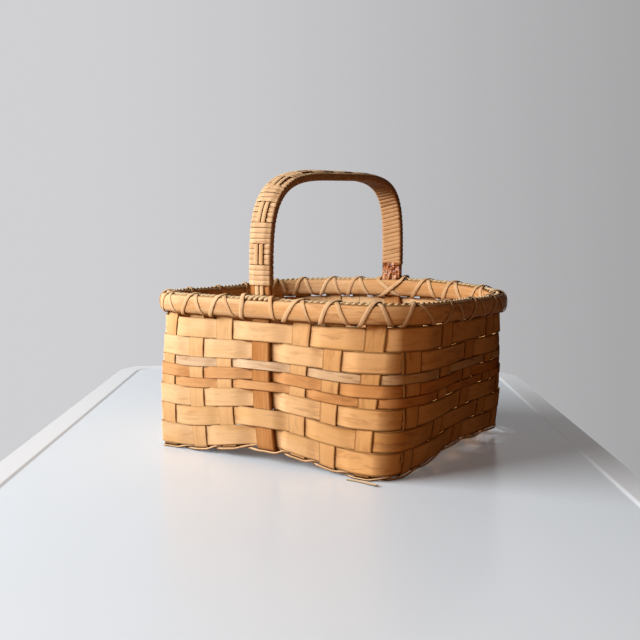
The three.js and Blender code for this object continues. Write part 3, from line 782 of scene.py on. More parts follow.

# Each wood has three tones, light, deep and warm, and what is its own beside the plain wood's values
# Some values are the shares of painted shade on the right side, at the back and on the handle's sides and
# underside
plainWood = {
    "streakWidth": 0.9,
    "gloss": 0.66,
    "contrast": 1.0,
    "relief": 0.6,
    "edging": 0.5,
    "smudge": 0.42,
    "shine": 0.0,
    "handleShadeShare": 0.0,
    "backShadeShare": 0.0,
    "rightShadeTintShare": 0.0,
}
fineGrain = {"streakWidth": 0.6, "rightShadeTintShare": 1.0}
caneGrain = {"streakWidth": 0.5, "gloss": 0.5, "relief": 0.3, "shine": 0.03}
wood = {
    "paleSplint": {
        **fineGrain,
        "tones": ("f3cc9d", "deae76", "e1af70"),
        "contrast": 0.6,
        "relief": 0.4,
        "smudge": 0.25,
    },
    "stakeSplint": {
        **fineGrain,
        "tones": ("edc28c", "d8a46e", "dba167"),
        "contrast": 0.7,
        "relief": 0.4,
        "smudge": 0.25,
    },
    # The loose end's tones are paler, painted light for a piece that lies in shade
    "bleachedSplint": {"tones": ("f4e3c8", "dcc19a", "e2c7a0"), "contrast": 0.7, "smudge": 0.1},
    "warmSplint": {
        **fineGrain,
        "tones": ("e2ae78", "c98f5a", "cf8c50"),
        "contrast": 0.8,
        "smudge": 0.35,
    },
    "greySplint": {
        **fineGrain,
        "tones": ("e8cba6", "cba680", "d3ab82"),
        "contrast": 0.9,
        "smudge": 0.4,
        "rightShadeTintShare": 0.7,
    },
    "handleWood": {"tones": ("d59b62", "b5763f", "bd7c45"), "streakWidth": 0.8, "contrast": 1.1},
    "rimWood": {
        "tones": ("efc798", "d6a068", "dca569"),
        "streakWidth": 1.1,
        "gloss": 0.5,
        "smudge": 0.35,
        "shine": 0.015,
        "backShadeShare": 0.5,
        "rightShadeTintShare": 0.9,
    },
    "caneSkin": {**caneGrain, "tones": ("f0ca9c", "d6a774", "dca974"), "smudge": 0.3, "backShadeShare": 0.4},
    "wrapSkin": {
        **caneGrain,
        "tones": ("efc99c", "d7a877", "dcab79"),
        "edging": 0.8,
        "handleShadeShare": 0.6,
        "backShadeShare": 1.0,
    },
}


# Split or shaved wood: streaks run along the strip, with pores, a warmer drift and smudges; the dark edges are
# painted shade
def woodFinish(name, look):
    finish = Finish(name)
    along, across, seed = finish.attribute("grain")
    edge, _, _ = finish.attribute("edge")
    shifted = seed * grainLook["seedStep"]
    lines = 1000 / look["streakWidth"]
    contrast = look["contrast"]
    pale, deep, warm = (hexColour(code) for code in look["tones"])

    def layer(alongScale, acrossScale, offset=0, **look):
        spot = finish.vector(along * alongScale, across * acrossScale, shifted + offset)
        return finish.noise(spot, **look)

    streaks = layer(22, lines, detail=4, roughness=0.62, distortion=0.3)
    hairs = layer(60, lines * 3, offset=5)
    drift = layer(14, 60, offset=11)
    pores = layer(260, lines * 2, offset=23, detail=1)
    smudges = layer(42, 190, offset=47, detail=4, roughness=0.62, distortion=0.6)
    pieceTone = finish.noise(finish.vector(shifted + 31, 0.5, 0.5), detail=0) - 0.5
    tone = (streaks - 0.5) * grainLook["streakShare"] * contrast
    tone = tone + (hairs - 0.5) * grainLook["hairShare"] * contrast
    tone = tone + (drift - 0.5) * grainLook["driftShare"]
    level = (tone + grainLook["level"] + pieceTone * grainLook["pieceShare"]).clipped()
    body = finish.mix(level, pale, deep)
    warmed = finish.span(drift + pieceTone * grainLook["warmPiece"], *grainLook["warmSpan"])
    body = finish.mix(warmed * grainLook["warmShare"], body, warm)

    spotX, spotY, _ = parts(finish.tree, finish.node("ShaderNodeTexCoord", None, None, "Object"))
    # Painted shade: the right side is darker and browner, with more dark smudges and wider dark edges
    rightShade = finish.span(spotX, *wearAndShade["rightShade"])
    smudgeShare = rightShade * wearAndShade["rightShadeSmudge"] + look["smudge"]
    smudging = finish.span(smudges, *grainLook["smudgeSpan"]) * smudgeShare
    body = finish.mix(smudging, body, hexColour(wearAndShade["smudgeTone"]))
    spots = finish.span(pores, *grainLook["poreSpan"]) * grainLook["poreShare"] * contrast
    body = finish.mix(spots, body, tuple(c * wearAndShade["poreShade"] for c in deep))
    # Painted shade along each strip's edges, where it meets its neighbours, wider and darker on the right side
    rightShadeReach, rightShadeShare = wearAndShade["rightShadeEdge"]
    nearEdge = edge.math("ABSOLUTE", edge) + rightShade * rightShadeReach
    edgeShare = (rightShade * rightShadeShare + look["edging"]).clipped()
    edgeShadeMask = finish.span(nearEdge, *grainLook["edgeSpan"]) * edgeShare
    body = finish.mix(edgeShadeMask, body, tuple(c * wearAndShade["edgeShade"] for c in deep))
    # Painted shade: darker towards the back
    if look["backShadeShare"]:
        backShade = finish.span(spotY, *wearAndShade["back"]) * look["backShadeShare"]
        body = finish.mix(backShade, body, wearAndShade["backShadeTint"], "MULTIPLY")
    # Painted shade: the right side tinted darker and browner
    if look["rightShadeTintShare"]:
        body = finish.mix(rightShade * look["rightShadeTintShare"], body, wearAndShade["rightShadeTint"], "MULTIPLY")
    if look["handleShadeShare"]:
        # Painted shade on the handle's two sides and the underside of its arch, by the way their faces turn
        sideways, _, upwards = parts(finish.tree, finish.node("ShaderNodeNewGeometry", None, None, "Normal"))
        handleShade = finish.span(sideways.math("ABSOLUTE", sideways), *wearAndShade["handleShadeSide"])
        handleShade = (handleShade + finish.span(upwards * -1, *wearAndShade["handleShadeBelow"])).clipped()
        body = finish.mix(handleShade * look["handleShadeShare"], body, hexColour(wearAndShade["handleShadeTone"]))

    # Painted shade in the crevices and gaps, where the pieces hide each other
    reach = {"Distance": wearAndShade["creviceShadeReach"]}
    openness = finish.node("ShaderNodeAmbientOcclusion", {"samples": 8}, reach, "AO")
    creviceShade = finish.span(1 - openness, *wearAndShade["creviceShadeSpan"]) * wearAndShade["creviceShadeShare"]
    body = finish.mix(creviceShade, body, hexColour(wearAndShade["creviceShadeTone"]))
    streakRelief, hairRelief = grainLook["relief"]
    relieved = streaks * streakRelief + hairs * hairRelief - spots
    roughness = look["gloss"] + (streaks - 0.5) * grainLook["roughSwing"]
    finish.use(
        colour=body,
        roughness=roughness.clipped(*grainLook["roughSpan"]),
        normal=finish.bump(relieved, look["relief"], grainLook["depth"]),
        specular=look["shine"],
    )
    return finish.material


finishes = {name: woodFinish(name, {**plainWood, **look}) for name, look in wood.items()}
grass = {
    "tones": ("e8d0a6", "c9a677", "c79a62"),
    "bladeSpan": (0.35, 0.7),
    "warmSpan": (0.5, 0.75),
    "warmShare": 0.4,
    "roughness": 0.7,
    "specular": 0.3,
    "relief": (0.8, 0.0003),
}


def grassFinish():
    finish = Finish("seagrass")
    along, turn, seed = finish.attribute("grain")
    pale, deep, warm = (hexColour(code) for code in grass["tones"])
    blades = finish.noise(finish.vector(along * 900, turn * 2.5, seed * 3), detail=3, roughness=0.6)
    drift = finish.noise(finish.vector(along * 25, turn * 0.1, seed * 9))
    body = finish.mix(finish.span(blades, *grass["bladeSpan"]), pale, deep)
    body = finish.mix(finish.span(drift, *grass["warmSpan"]) * grass["warmShare"], body, warm)
    finish.use(
        colour=body,
        roughness=grass["roughness"],
        normal=finish.bump(blades, *grass["relief"]),
        specular=grass["specular"],
    )
    return finish.material


finishes["seagrass"] = grassFinish()
print("materials ready")

# Stakes: up one wall, across the base and up the other
stakeLook = {
    "corner": 0.28,
    "wobble": (0.35, 9),
    "crossSeed": 100,
    "longSeed": 120,
    "bendPoints": 9,
    "wallPoints": 60,
    "basePoints": 110,
}


# The three points that a stake's bend is drawn from: in the base, at the corner and at the foot of the wall
def bendOf(stake):
    inside = stake["foot"] - stake["footOut"] * basket["bend"] + up * (baseLevel + stake["lift"])
    corner = stake["foot"] + up * (baseLevel + stake["lift"] / 2)
    return inside, corner, onStake(stake, wallFoot)


def climbPath(stake):
    inside, corner, wall = bendOf(stake)
    share = np.linspace(0, 1, stakeLook["bendPoints"])[:-1, None]
    foot = (1 - share) ** 2 * inside + 2 * share * (1 - share) * corner + share**2 * wall
    tangent = unit(2 * (1 - share) * (corner - inside) + 2 * share * (wall - corner))
    footSide = np.cross(up, stake["footOut"])
    heights = np.linspace(wallFoot, rimTop - basket["stakeShort"], stakeLook["wallPoints"])
    # It turns only where it is free, between two rows
    knots, turns = [wallFoot], [0.0]
    fromAngle = math.atan2(stake["footOut"][1], stake["footOut"][0])
    for low, high in rows + [rimRow]:
        out = outAt(stake, (low + high) / 2)
        turn = math.atan2(out[1], out[0]) - fromAngle
        turn = (turn + math.pi) % (2 * math.pi) - math.pi
        knots += [low, high]
        turns += [turn, turn]
    angle = fromAngle + np.interp(heights, knots, turns)
    side = np.stack([-np.sin(angle), np.cos(angle), 0 * angle], -1)
    at = onStake(stake, heights) + outAt(stake, heights) * swayAt(stake, heights)[:, None]
    rise = unit(np.gradient(at, axis=0))
    rise[heights > rimLow] = up
    footWidth = np.full(len(foot), float(stakeWidth(stake, 0.0)))
    return {
        "centre": np.concatenate([foot, at]),
        "side": np.concatenate([np.broadcast_to(footSide, foot.shape), side]),
        "out": np.concatenate([np.cross(footSide, tangent), np.cross(side, rise)]),
        "width": np.concatenate([footWidth, stakeWidth(stake, heights)]),
    }


def baseRun(places, lifts, halves, ends):
    # The middle line across the base: level under or over each crossing, and eased between them
    run = np.linspace(ends[0], ends[1], stakeLook["basePoints"])[1:-1]
    knots, heights = [ends[0]], [lifts[0]]
    for place, lift, half in zip(places, lifts, halves):
        knots += [place - half, place + half]
        heights += [lift, lift]
    knots.append(ends[1])
    heights.append(lifts[-1])
    i = np.clip(np.searchsorted(knots, run) - 1, 0, len(knots) - 2)
    knots, heights = np.array(knots), np.array(heights)
    share = ease((run - knots[i]) / np.maximum(knots[i + 1] - knots[i], 1e-6))
    return run, baseLevel + lerp(heights[i], heights[i + 1], share)


def layStake(name, start, base, baseSide, end, seed):
    centre = np.concatenate([start["centre"][::-1], base, end["centre"]])
    side = np.concatenate([start["side"][::-1], np.broadcast_to(baseSide, base.shape), -end["side"]])
    out = np.concatenate([start["out"][::-1], np.broadcast_to(-up, base.shape), end["out"]])
    baseWidth = np.full(len(base), basket["stakeAtBase"])
    width = np.concatenate([start["width"][::-1], baseWidth, end["width"]])
    width = width + wander(len(width), *stakeLook["wobble"], seed)
    path = makePath(centre, side, out, width / 2, basket["thick"] / 2)
    look = splintProfile, stakeLook["corner"], finishes["stakeSplint"], "pale_splint"
    sweep("splint_" + name, path, *look, [name], seed, isDomed=True)


def makeCrossStake(k):
    halves = [basket["stakeAtBase"] / 2 + basket["margin"]] * (lastLong + 1)
    lifts = [crossLift(k, m) for m in range(lastLong + 1)]
    foot = basket["baseWidth"] / 2 - basket["bend"]
    run, height = baseRun(basket["longAtBase"], lifts, halves, (-foot, foot))
    base = np.stack([np.full_like(run, basket["crossAtBase"][k]), run, height], -1)
    start, end = climbPath(frontStakes[k]), climbPath(backStakes[k])
    layStake(f"cross_stake_{k + 1}", start, base, (1, 0, 0), end, stakeLook["crossSeed"] + k)


def makeLongStake(m):
    halves = [basket["stakeAtBase"] / 2 + basket["margin"]] * (lastCross + 1)
    halves[basket["handleIndex"]] = basket["handleWidth"] / 2 + basket["margin"]
    lifts = [longLift(k, m) for k in range(lastCross + 1)]
    foot = basket["baseLength"] / 2 - basket["bend"]
    shift = basket["baseShift"]
    run, height = baseRun(basket["crossAtBase"], lifts, halves, (shift - foot, shift + foot))
    base = np.stack([run, np.full_like(run, basket["longAtBase"][m]), height], -1)
    start, end = (
        {**path, "side": -path["side"]} for path in (climbPath(leftStakes[m]), climbPath(rightStakes[m]))
    )
    layStake(f"long_stake_{m + 1}", start, base, (0, 1, 0), end, stakeLook["longSeed"] + m)


for k in range(lastCross + 1):
    if k != basket["handleIndex"]:
        makeCrossStake(k)
for m in range(lastLong + 1):
    makeLongStake(m)
print("stakes woven into the base")

# Weavers: round the wall, outside one stake and inside the next
weaverLook = {
    "corner": 0.3,
    "swell": 0.2,
    "straight": 0.33,
    "extraWidth": 0.6,
    "outsideMargin": 0.4,
    "insideMargin": 1.4,
    "handleMargin": 2.6,
    "topFitBack": 1.5,
    "topFitRight": 2.6,
    "footFit": 1.2,
    "widthWobble": (0.3, 14),
    "heightWobble": (0.35, 40),
    "lap": 34.0,
    "lapStakes": (16, 15),
    "stopPoints": 7,
    "turnStep": 0.07,
    "fewestSteps": 8,
    "seed": 10,
    "rimSeed": 30,
}


# Where a weaver passes each stake: its middle there, three directions, its side, and how far it lies straight
def weaverStops(row, outsideFirst):
    stops = []
    for i, stake in enumerate(stakes):
        middle, rise, along, out = stretch(stake, *row)
        side = 1 if (i % 2 == 0) == outsideFirst else -1
        stakeHalf = basket["thick"] / 2 if row is rimRow else halfThick(stake)
        given = 0 if row is rimRow or stake["isHandle"] else basket["sway"]
        away = side * (stakeHalf + basket["snug"] + basket["thick"] / 2 - given)
        insideMargin = weaverLook["handleMargin" if stake["isHandle"] else "insideMargin"]
        margin = weaverLook["outsideMargin"] if side > 0 else insideMargin
        reach = float(stakeWidth(stake, sum(row) / 2)) / 2 + margin
        stops.append((middle + out * away, rise, along, out, side, reach))
    return stops


def weaverPath(row, outsideFirst, seed):
    centres, sides, outs = [], [], []
    stops = weaverStops(row, outsideFirst)
    for (at, rise, along, out, side, reach), after in zip(stops, stops[1:] + stops[:1]):
        for t in np.linspace(-1, 1, weaverLook["stopPoints"]):
            swell = 0 if row is rimRow else side * weaverLook["swell"] * (1 - t * t)
            centres.append(at + along * reach * t + out * swell)
            sides.append(rise)
            outs.append(out)
        nextAt, nextRise, nextAlong, _, _, nextReach = after
        a, d = at + along * reach, nextAt - nextAlong * nextReach
        grip = np.linalg.norm(d - a) * weaverLook["straight"]
        b, c = a + along * grip, d - nextAlong * grip
        turn = math.acos(np.clip(along @ nextAlong, -1, 1))
        count = max(weaverLook["fewestSteps"], int(turn / weaverLook["turnStep"]))
        for t in np.arange(1, count) / count:
            s = 1 - t
            centres.append(s**3 * a + 3 * t * s**2 * b + 3 * t * t * s * c + t**3 * d)
            tangent = unit(s**2 * (b - a) + 2 * t * s * (c - b) + t * t * (d - c))
            outs.append(unit(np.cross(tangent, unit(lerp(rise, nextRise, t)))))
            sides.append(np.cross(outs[-1], tangent))
    centres, sides, outs = (np.array(v) for v in (centres, sides, outs))
    width = row[1] - row[0] + weaverLook["extraWidth"]
    width = width + wander(len(centres), *weaverLook["widthWobble"], seed)
    centres = centres + sides * wander(len(centres), *weaverLook["heightWobble"], seed + 1)[:, None]
    if row is rows[-1]:
        # At the back and the right the top weaver reaches up closer to the rim
        backFit = weaverLook["topFitBack"] * ease(centres[:, 1] / rimHalf[1])
        rightFit = weaverLook["topFitRight"] * ease(centres[:, 0] / rimHalf[0])
        fit = np.maximum(backFit, rightFit)
        width = width + fit
        centres = centres + sides * fit[:, None] / 2
    if row is rows[0]:
        # The lowest one reaches down to the twined reed
        width = width + weaverLook["footFit"]
        centres = centres - sides * weaverLook["footFit"] / 2
    return makePath(centres, sides, outs, width / 2, basket["thick"] / 2, isClosed=True)


def makeWeaver(name, row, outsideFirst, tone, seed):
    path = weaverPath(row, outsideFirst, seed)
    # The lap starts behind a stake at the back
    at = stretch(stakes[weaverLook["lapStakes"][outsideFirst]], *row)[0]
    first = int(np.argmin(np.linalg.norm(path["centre"] - at, axis=1)))
    path = lapped(path, first, weaverLook["lap"])
    look = splintProfile, weaverLook["corner"], finishes[tone + "Splint"], tone + "_splint"
    sweep("splint_" + name, path, *look, [name], seed, isDomed=True)


for j, row in enumerate(rows):
    makeWeaver(f"weaver_{j + 1}", row, j % 2 == 0, basket["rowWood"][j], weaverLook["seed"] + j)
makeWeaver("rim_weaver", rimRow, len(rows) % 2 == 0, "pale", weaverLook["rimSeed"])
print("weavers done")

# The handle: one bentwood hoop, wrapped with cane over two straps
handle = {
    "archFoot": 148.0,
    "roundness": (4.0, 4.45),
    "drop": 1.0,
    "roll": 8.0,
    "rollEnd": 0.8,
    "spread": 1.0,
    "swell": 0.5,
    "easing": 10.0,
    "corner": 0.9,
    "lap": 50.0,
    "lapPoint": 30,
    "legShort": 2.0,
    "slopeStep": 1.5,
    "gripPoints": 240,
    "basePoints": 90,
    "seed": 7,
}
strap = {
    "half": (1.95, 0.5),
    "apart": 4.8,
    "short": 0.8,
    "edge": 0.3,
    "wobble": (0.15, 60),
    "points": 900,
    "seed": 60,
    "wobbleSeed": 50,
}
wrap = {
    "start": 11.5,
    "end": 15.5,
    "thick": 0.9,
    "turns": 84,
    "block": 4,
    "radius": 1.9,
    "cornerPoints": 6,
    "facePoints": 15,
    "wobble": (0.22, 24),
    "widthWobble": (0.1, 60),
    "seed": 3,
}
handleHalf = basket["handleThick"] / 2
gripHalf = handleHalf + handle["swell"]
# The heights over the strip's middle: the wrap on the wood or over the straps, and a strap under or over it
strapLow = gripHalf + basket["gap"] + strap["half"][1]
wrapTight = gripHalf + basket["gap"] + wrap["thick"] / 2
wrapOver = strapLow + strap["half"][1] + basket["gap"] + wrap["thick"] / 2
strapHigh = wrapTight + wrap["thick"] / 2 + basket["gap"] + strap["half"][1]
handleX = basket["crossAtRim"][basket["handleIndex"]]
legY = -frontStakes[basket["handleIndex"]]["top"][1]
archRise = overallHeight - wrapOver - wrap["thick"] / 2 - handle["archFoot"] - handle["drop"]
archAngle = np.linspace(np.pi, 0, samples["arch"])
archPower = np.where(archAngle > np.pi / 2, *handle["roundness"])
archReach = (
    np.abs(np.cos(archAngle) / legY) ** archPower + np.abs(np.sin(archAngle) / archRise) ** archPower
) ** (-1 / archPower)
gripY = np.concatenate([[-legY], archReach * np.cos(archAngle), [legY]])
gripZ = np.concatenate([[rimTop], handle["archFoot"] + archReach * np.sin(archAngle), [rimTop]])
gripRun = np.concatenate([[0], np.cumsum(np.hypot(np.diff(gripY), np.diff(gripZ)))])
gripLength = gripRun[-1]
sideways = np.array([1.0, 0.0, 0.0])


def onGrip(length):
    length = np.asarray(length, float)
    y, z = np.interp(length, gripRun, gripY), np.interp(length, gripRun, gripZ)
    ahead, behind = length + handle["slopeStep"], length - handle["slopeStep"]
    alongY = np.interp(ahead, gripRun, gripY) - np.interp(behind, gripRun, gripY)
    alongZ = np.interp(ahead, gripRun, gripZ) - np.interp(behind, gripRun, gripZ)
    along = unit(np.stack([np.zeros_like(y), alongY, alongZ], -1))
    level = np.cross(sideways, along)
    # The strip rolls a little over the top, outer face to the right
    share = np.clip(length / gripLength / handle["rollEnd"], 0, 1)
    roll = math.radians(handle["roll"]) * np.sin(np.pi * share) ** 2
    cosine, sine = np.cos(roll)[..., None], np.sin(roll)[..., None]
    out, side = level * cosine + sideways * sine, sideways * cosine - level * sine
    return np.stack([np.full_like(y, handleX), y, z], -1), along, out, side


def handleHoop():
    def leg(stake):
        climbed = climbPath(stake)
        keep = climbed["centre"][:, 2] < rimTop - handle["legShort"]
        return climbed["centre"][keep], climbed["out"][keep]

    at, _, out, side = onGrip(np.linspace(0, gripLength, handle["gripPoints"]))
    frontAt, frontOut = leg(frontStakes[basket["handleIndex"]])
    backAt, backOut = leg(backStakes[basket["handleIndex"]])
    footY = basket["baseWidth"] / 2 - basket["bend"]
    baseY = np.linspace(footY, -footY, handle["basePoints"])[1:-1]
    baseX = np.full_like(baseY, basket["crossAtBase"][basket["handleIndex"]])
    base = np.stack([baseX, baseY, np.full_like(baseY, baseLevel)], -1)
    centre = np.concatenate([frontAt, at, backAt[::-1], base])
    out = np.concatenate([frontOut, out, backOut[::-1], np.broadcast_to(-up, base.shape)])
    frontSide, backSide, baseSide = (np.broadcast_to(sideways, v.shape) for v in (frontAt, backAt, base))
    side = np.concatenate([frontSide, side, backSide, baseSide])
    spread = handle["spread"] * ease((centre[:, 2] - rimLow) / handle["easing"])
    half = lerp(handleHalf, gripHalf, ease((centre[:, 2] - rimTop) / handle["easing"]))
    # Between the hoops its inner half is cut back for the weaver there
    isNotched = (centre[:, 2] > rimRow[0]) & (centre[:, 2] < rimRow[1])
    cut = (handleHalf - basket["thick"] / 2) / 2
    half[isNotched] -= cut
    centre[isNotched] += out[isNotched] * cut
    path = makePath(centre, side, out, basket["handleWidth"] / 2 + spread, half, isClosed=True)
    first = len(frontAt) + len(at) + len(backAt) + handle["lapPoint"]
    path = lapped(path, first, handle["lap"])
    look = handleProfile, handle["corner"], finishes["handleWood"], "handle_wood"
    sweep("bent_handle_hoop", path, *look, ["handle_hoop"], handle["seed"], isDomed=True)


wrapPitch = (gripLength - wrap["start"] - wrap["end"]) / wrap["turns"]


def isOverStrap(turn):
    return (turn // wrap["block"]) % 2 == 0


# One turn of the cane, from the middle of the inner face round by the left: its place across and out from
# the strip, the direction of its outer face, and how much of a turn it is ahead of the middle
def wrapTurn(lift, slantIn, slantOut):
    radius = wrap["radius"]
    halfX = basket["handleWidth"] / 2 + handle["spread"] + basket["gap"] + wrap["thick"] / 2
    spanX, spanN = halfX - radius, wrapTight - radius
    inner = np.linspace(0, 1, wrap["cornerPoints"])[:-1]
    points = [(-spanX * t, -wrapTight, 0, -1, slantIn * (t - 1)) for t in inner]

    def corner(signX, signN, start):
        for angle in np.radians(np.linspace(start, start - 90, wrap["cornerPoints"])):
            x, n = math.cos(angle), math.sin(angle)
            points.append((signX * spanX + radius * x, signN * spanN + radius * n, x, n, 0))

    corner(-1, -1, 270)
    corner(-1, 1, 180)
    strapEdge = strap["apart"] / 2 + strap["half"][0]
    for x in np.linspace(-1, 1, wrap["facePoints"])[1:-1] * spanX:
        raised = lift * float(ease((spanX + 0.5 - abs(x)) / (spanX + 0.5 - strapEdge)))
        points.append((x, wrapTight + raised, 0, 1, 0))
    corner(1, 1, 90)
    corner(1, -1, 0)
    return points + [(spanX * t, -wrapTight, 0, -1, slantOut * (1 - t)) for t in inner[::-1]]


def handleWrap():
    points = []
    for turn in range(wrap["turns"]):
        lift = wrapOver - wrapTight if isOverStrap(turn) else 0.0
        # The first and last half turns run level, so that the wrap ends square
        slantIn = 0.5 if turn > 0 else 0.0
        slantOut = 0.5 if turn < wrap["turns"] - 1 else 0.0
        points += [(*point, turn) for point in wrapTurn(lift, slantIn, slantOut)]
    across, outward, outX, outN, share, turn = np.array(points).T
    at, along, gripOut, gripSide = onGrip(wrap["start"] + wrapPitch * (turn + 0.5 + share))
    centre = at + gripSide * across[:, None] + gripOut * outward[:, None]
    out = gripSide * outX[:, None] + gripOut * outN[:, None]
    isSame = np.concatenate([[False], np.linalg.norm(np.diff(centre, axis=0), axis=1) < 1e-4])
    centre, out, along = centre[~isSame], out[~isSame], along[~isSame]
    centre = centre + along * wander(len(centre), *wrap["wobble"], wrap["seed"] + 2)[:, None]
    width = wrapPitch / 2 + wander(len(centre), *wrap["widthWobble"], wrap["seed"] + 3)
    path = makePath(centre, along, out, width, wrap["thick"] / 2)
    look = wrapProfile, 0.0, finishes["wrapSkin"], "cane"
    sweep("cane_handle_wrap", path, *look, ["handle_wrap"], wrap["seed"])


def handleStrap(number, side):
    lengths = np.linspace(strap["short"], gripLength - strap["short"], strap["points"])
    turn = (lengths - wrap["start"]) / wrapPitch
    # Up on the wrap over one block of turns, down under the next
    position = np.mod(turn, 2 * wrap["block"])
    rising = ease((position - wrap["block"]) / strap["edge"] + 0.5)
    raised = rising * ease((2 * wrap["block"] - position) / strap["edge"] + 0.5)
    raised[(turn < 0) | (turn > wrap["turns"])] = 0
    at, along, out, gripSide = onGrip(lengths)
    n = lerp(strapLow, strapHigh, raised)
    wobble = wander(len(lengths), *strap["wobble"], strap["wobbleSeed"] + number)
    x = side * strap["apart"] / 2 + wobble
    centre = at + out * n[:, None] + gripSide * x[:, None]
    path = makePath(centre, gripSide, out, *strap["half"])
    name = f"handle_strap_{number}"
    look = caneProfile, 0.0, finishes["caneSkin"], "cane"
    sweep("cane_" + name, path, *look, [name], strap["seed"] + number)


# Old glue that holds the end of the wrap, on the inner face of the rear leg
glue = {
    "width": 19.4,
    "height": 19.0,
    "thick": 0.9,
    "lump": 2.4,
    "ragged": 2.4,
    "grain": 140.0,
    "foot": -1.6,
    "sink": 0.1,
    "steps": 46,
    # The third tone is a painted highlight
    "tones": ("7c3c1e", "b9733f", "efc8a4"),
    "lumpFrom": 0.38,
    "lumpMost": 0.3,
    "lumpScale": 4.0,
    "raggedScale": 3.0,
    "cloudSpan": (0.38, 0.6),
    "highlightSpan": (0.56, 0.66),
    "highlightShare": 0.6,
    "relief": (0.4, 0.001),
}


def glueFinish():
    finish = Finish("driedGlue")
    deep, pale, highlightTone = (hexColour(code) for code in glue["tones"])
    spot = finish.node("ShaderNodeTexCoord", None, None, "Object")
    clouds = finish.noise(spot, scale=130, distortion=1.6)
    # Pale spots, drawn out upwards, are painted highlights
    drawn = spot * (1.0, 1.0, 0.45)
    highlightNoise = finish.noise(drawn, scale=380, detail=1, roughness=0.4, distortion=0.8)
    body = finish.mix(finish.span(clouds, *glue["cloudSpan"]), deep, pale)
    body = finish.mix(finish.span(highlightNoise, *glue["highlightSpan"]) * glue["highlightShare"], body, highlightTone)
    finish.use(colour=body, roughness=0.35, specular=0.15, coat=0.25, coatRoughness=0.15)
    finish.use(normal=finish.bump(clouds, *glue["relief"]))
    return finish.material


def glueGraph():
    tree, given = newGraph(
        "gluePatch",
        {
            "Size": "NodeSocketVector",
            "Place": "NodeSocketVector",
            "Steps": "NodeSocketInt",
            "Lump": "NodeSocketFloat",
            "Ragged": "NodeSocketFloat",
            "Grain": "NodeSocketFloat",
            "Material": "NodeSocketMaterial",
        },
    )
    steps = given["Steps"]
    sockets = {"Size": given["Size"], "Vertices X": steps, "Vertices Y": 4, "Vertices Z": steps}
    block = addNode(tree, "GeometryNodeMeshCube", None, sockets)
    spot = Wire(tree, addNode(tree, "GeometryNodeInputPosition").outputs[0])
    sockets = {"Vector": spot, "Scale": given["Grain"], "Detail": 2.0}
    noise = addNode(tree, "ShaderNodeTexNoise", None, sockets)
    colour = Wire(tree, noise.outputs["Color"])
    swayed = colour.math("SUBTRACT", colour, Vector((0.5, 0.5, 0.5))) * given["Ragged"]
    swayX, _, swayZ = parts(tree, swayed * glue["raggedScale"])
    height = (Wire(tree, noise.outputs["Fac"]) - glue["lumpFrom"]).clipped(0.0, glue["lumpMost"])
    depth = parts(tree, spot)[1]
    isFront = depth.math("LESS_THAN", depth, 0.0)
    # The lumps rise on the side that faces the middle of the basket
    swell = height * isFront * given["Lump"] * -glue["lumpScale"]
    offset = combined(tree, [swayX, swell, swayZ])
    sockets = {"Geometry": block.outputs["Mesh"], "Offset": offset}
    lumpy = addNode(tree, "GeometryNodeSetPosition", None, sockets)
    sockets = {"Geometry": lumpy.outputs[0], "Translation": given["Place"]}
    placed = addNode(tree, "GeometryNodeTransform", None, sockets)
    smooth = addNode(tree, "GeometryNodeSetShadeSmooth", None, {"Geometry": placed.outputs[0]})
    endGraph(tree, smooth.outputs[0], given["Material"])
    return tree


def gluePatch():
    made = bpy.data.objects.new("dried_glue", bpy.data.meshes.new("dried_glue"))
    bpy.context.scene.collection.objects.link(made)
    depth = legY - handleHalf - glue["thick"] / 2 + glue["sink"]
    place = (handleX, depth, rimTop + glue["foot"] + glue["height"] / 2)
    values = {
        "Size": [glue[key] * mm for key in ("width", "thick", "height")],
        "Place": [v * mm for v in place],
        "Steps": glue["steps"],
        "Lump": glue["lump"] * mm,
        "Ragged": glue["ragged"] * mm,
        "Grain": glue["grain"],
        "Material": glueFinish(),
    }
    applyGraph(made, glueGraph(), values)
    settle(made, isDomed=False)
    finishPiece(made, [])


# A strip that has split off beside the first stake of the right side
splitStrip = {
    "stake": 7,
    "low": 14.0,
    "high": 104.0,
    "width": 2.6,
    "thick": 0.9,
    "gap": 0.5,
    "lift": 0.1,
    "wobble": (0.25, 12),
    "corner": 0.2,
    "points": 70,
    "seed": 79,
}


def makeSplitStrip():
    stake = stakes[splitStrip["stake"]]
    heights = np.linspace(splitStrip["low"], splitStrip["high"], splitStrip["points"])
    out = outAt(stake, heights)
    along = np.cross(up, out)
    away = swayAt(stake, heights) + splitStrip["lift"]
    beside = stakeWidth(stake, heights) / 2 + splitStrip["gap"] + splitStrip["width"] / 2
    centre = onStake(stake, heights) + out * away[:, None] - along * beside[:, None]
    rise = unit(np.gradient(centre, axis=0))
    side = unit(np.cross(rise, out))
    wobble = wander(len(heights), *splitStrip["wobble"], splitStrip["seed"])
    half = splitStrip["width"] / 2 + wobble, splitStrip["thick"] / 2
    path = makePath(centre, side, np.cross(side, rise), *half)
    look = splintProfile, splitStrip["corner"], finishes["paleSplint"], "pale_splint"
    sweep("splint_split_strip", path, *look, [], splitStrip["seed"], isDomed=True)


# A broken end of a splint that lies under the near corner
looseSplint = {
    "from": (89.3, -122.0),
    "to": (118.3, -126.7),
    "width": 5.2,
    "thick": 0.8,
    "curl": 2.2,
    "lift": 0.05,
    "tipLift": 0.9,
    "tip": 0.35,
    "wobble": (0.12, 4),
    "corner": 0.2,
    "points": 24,
    "seed": 78,
}


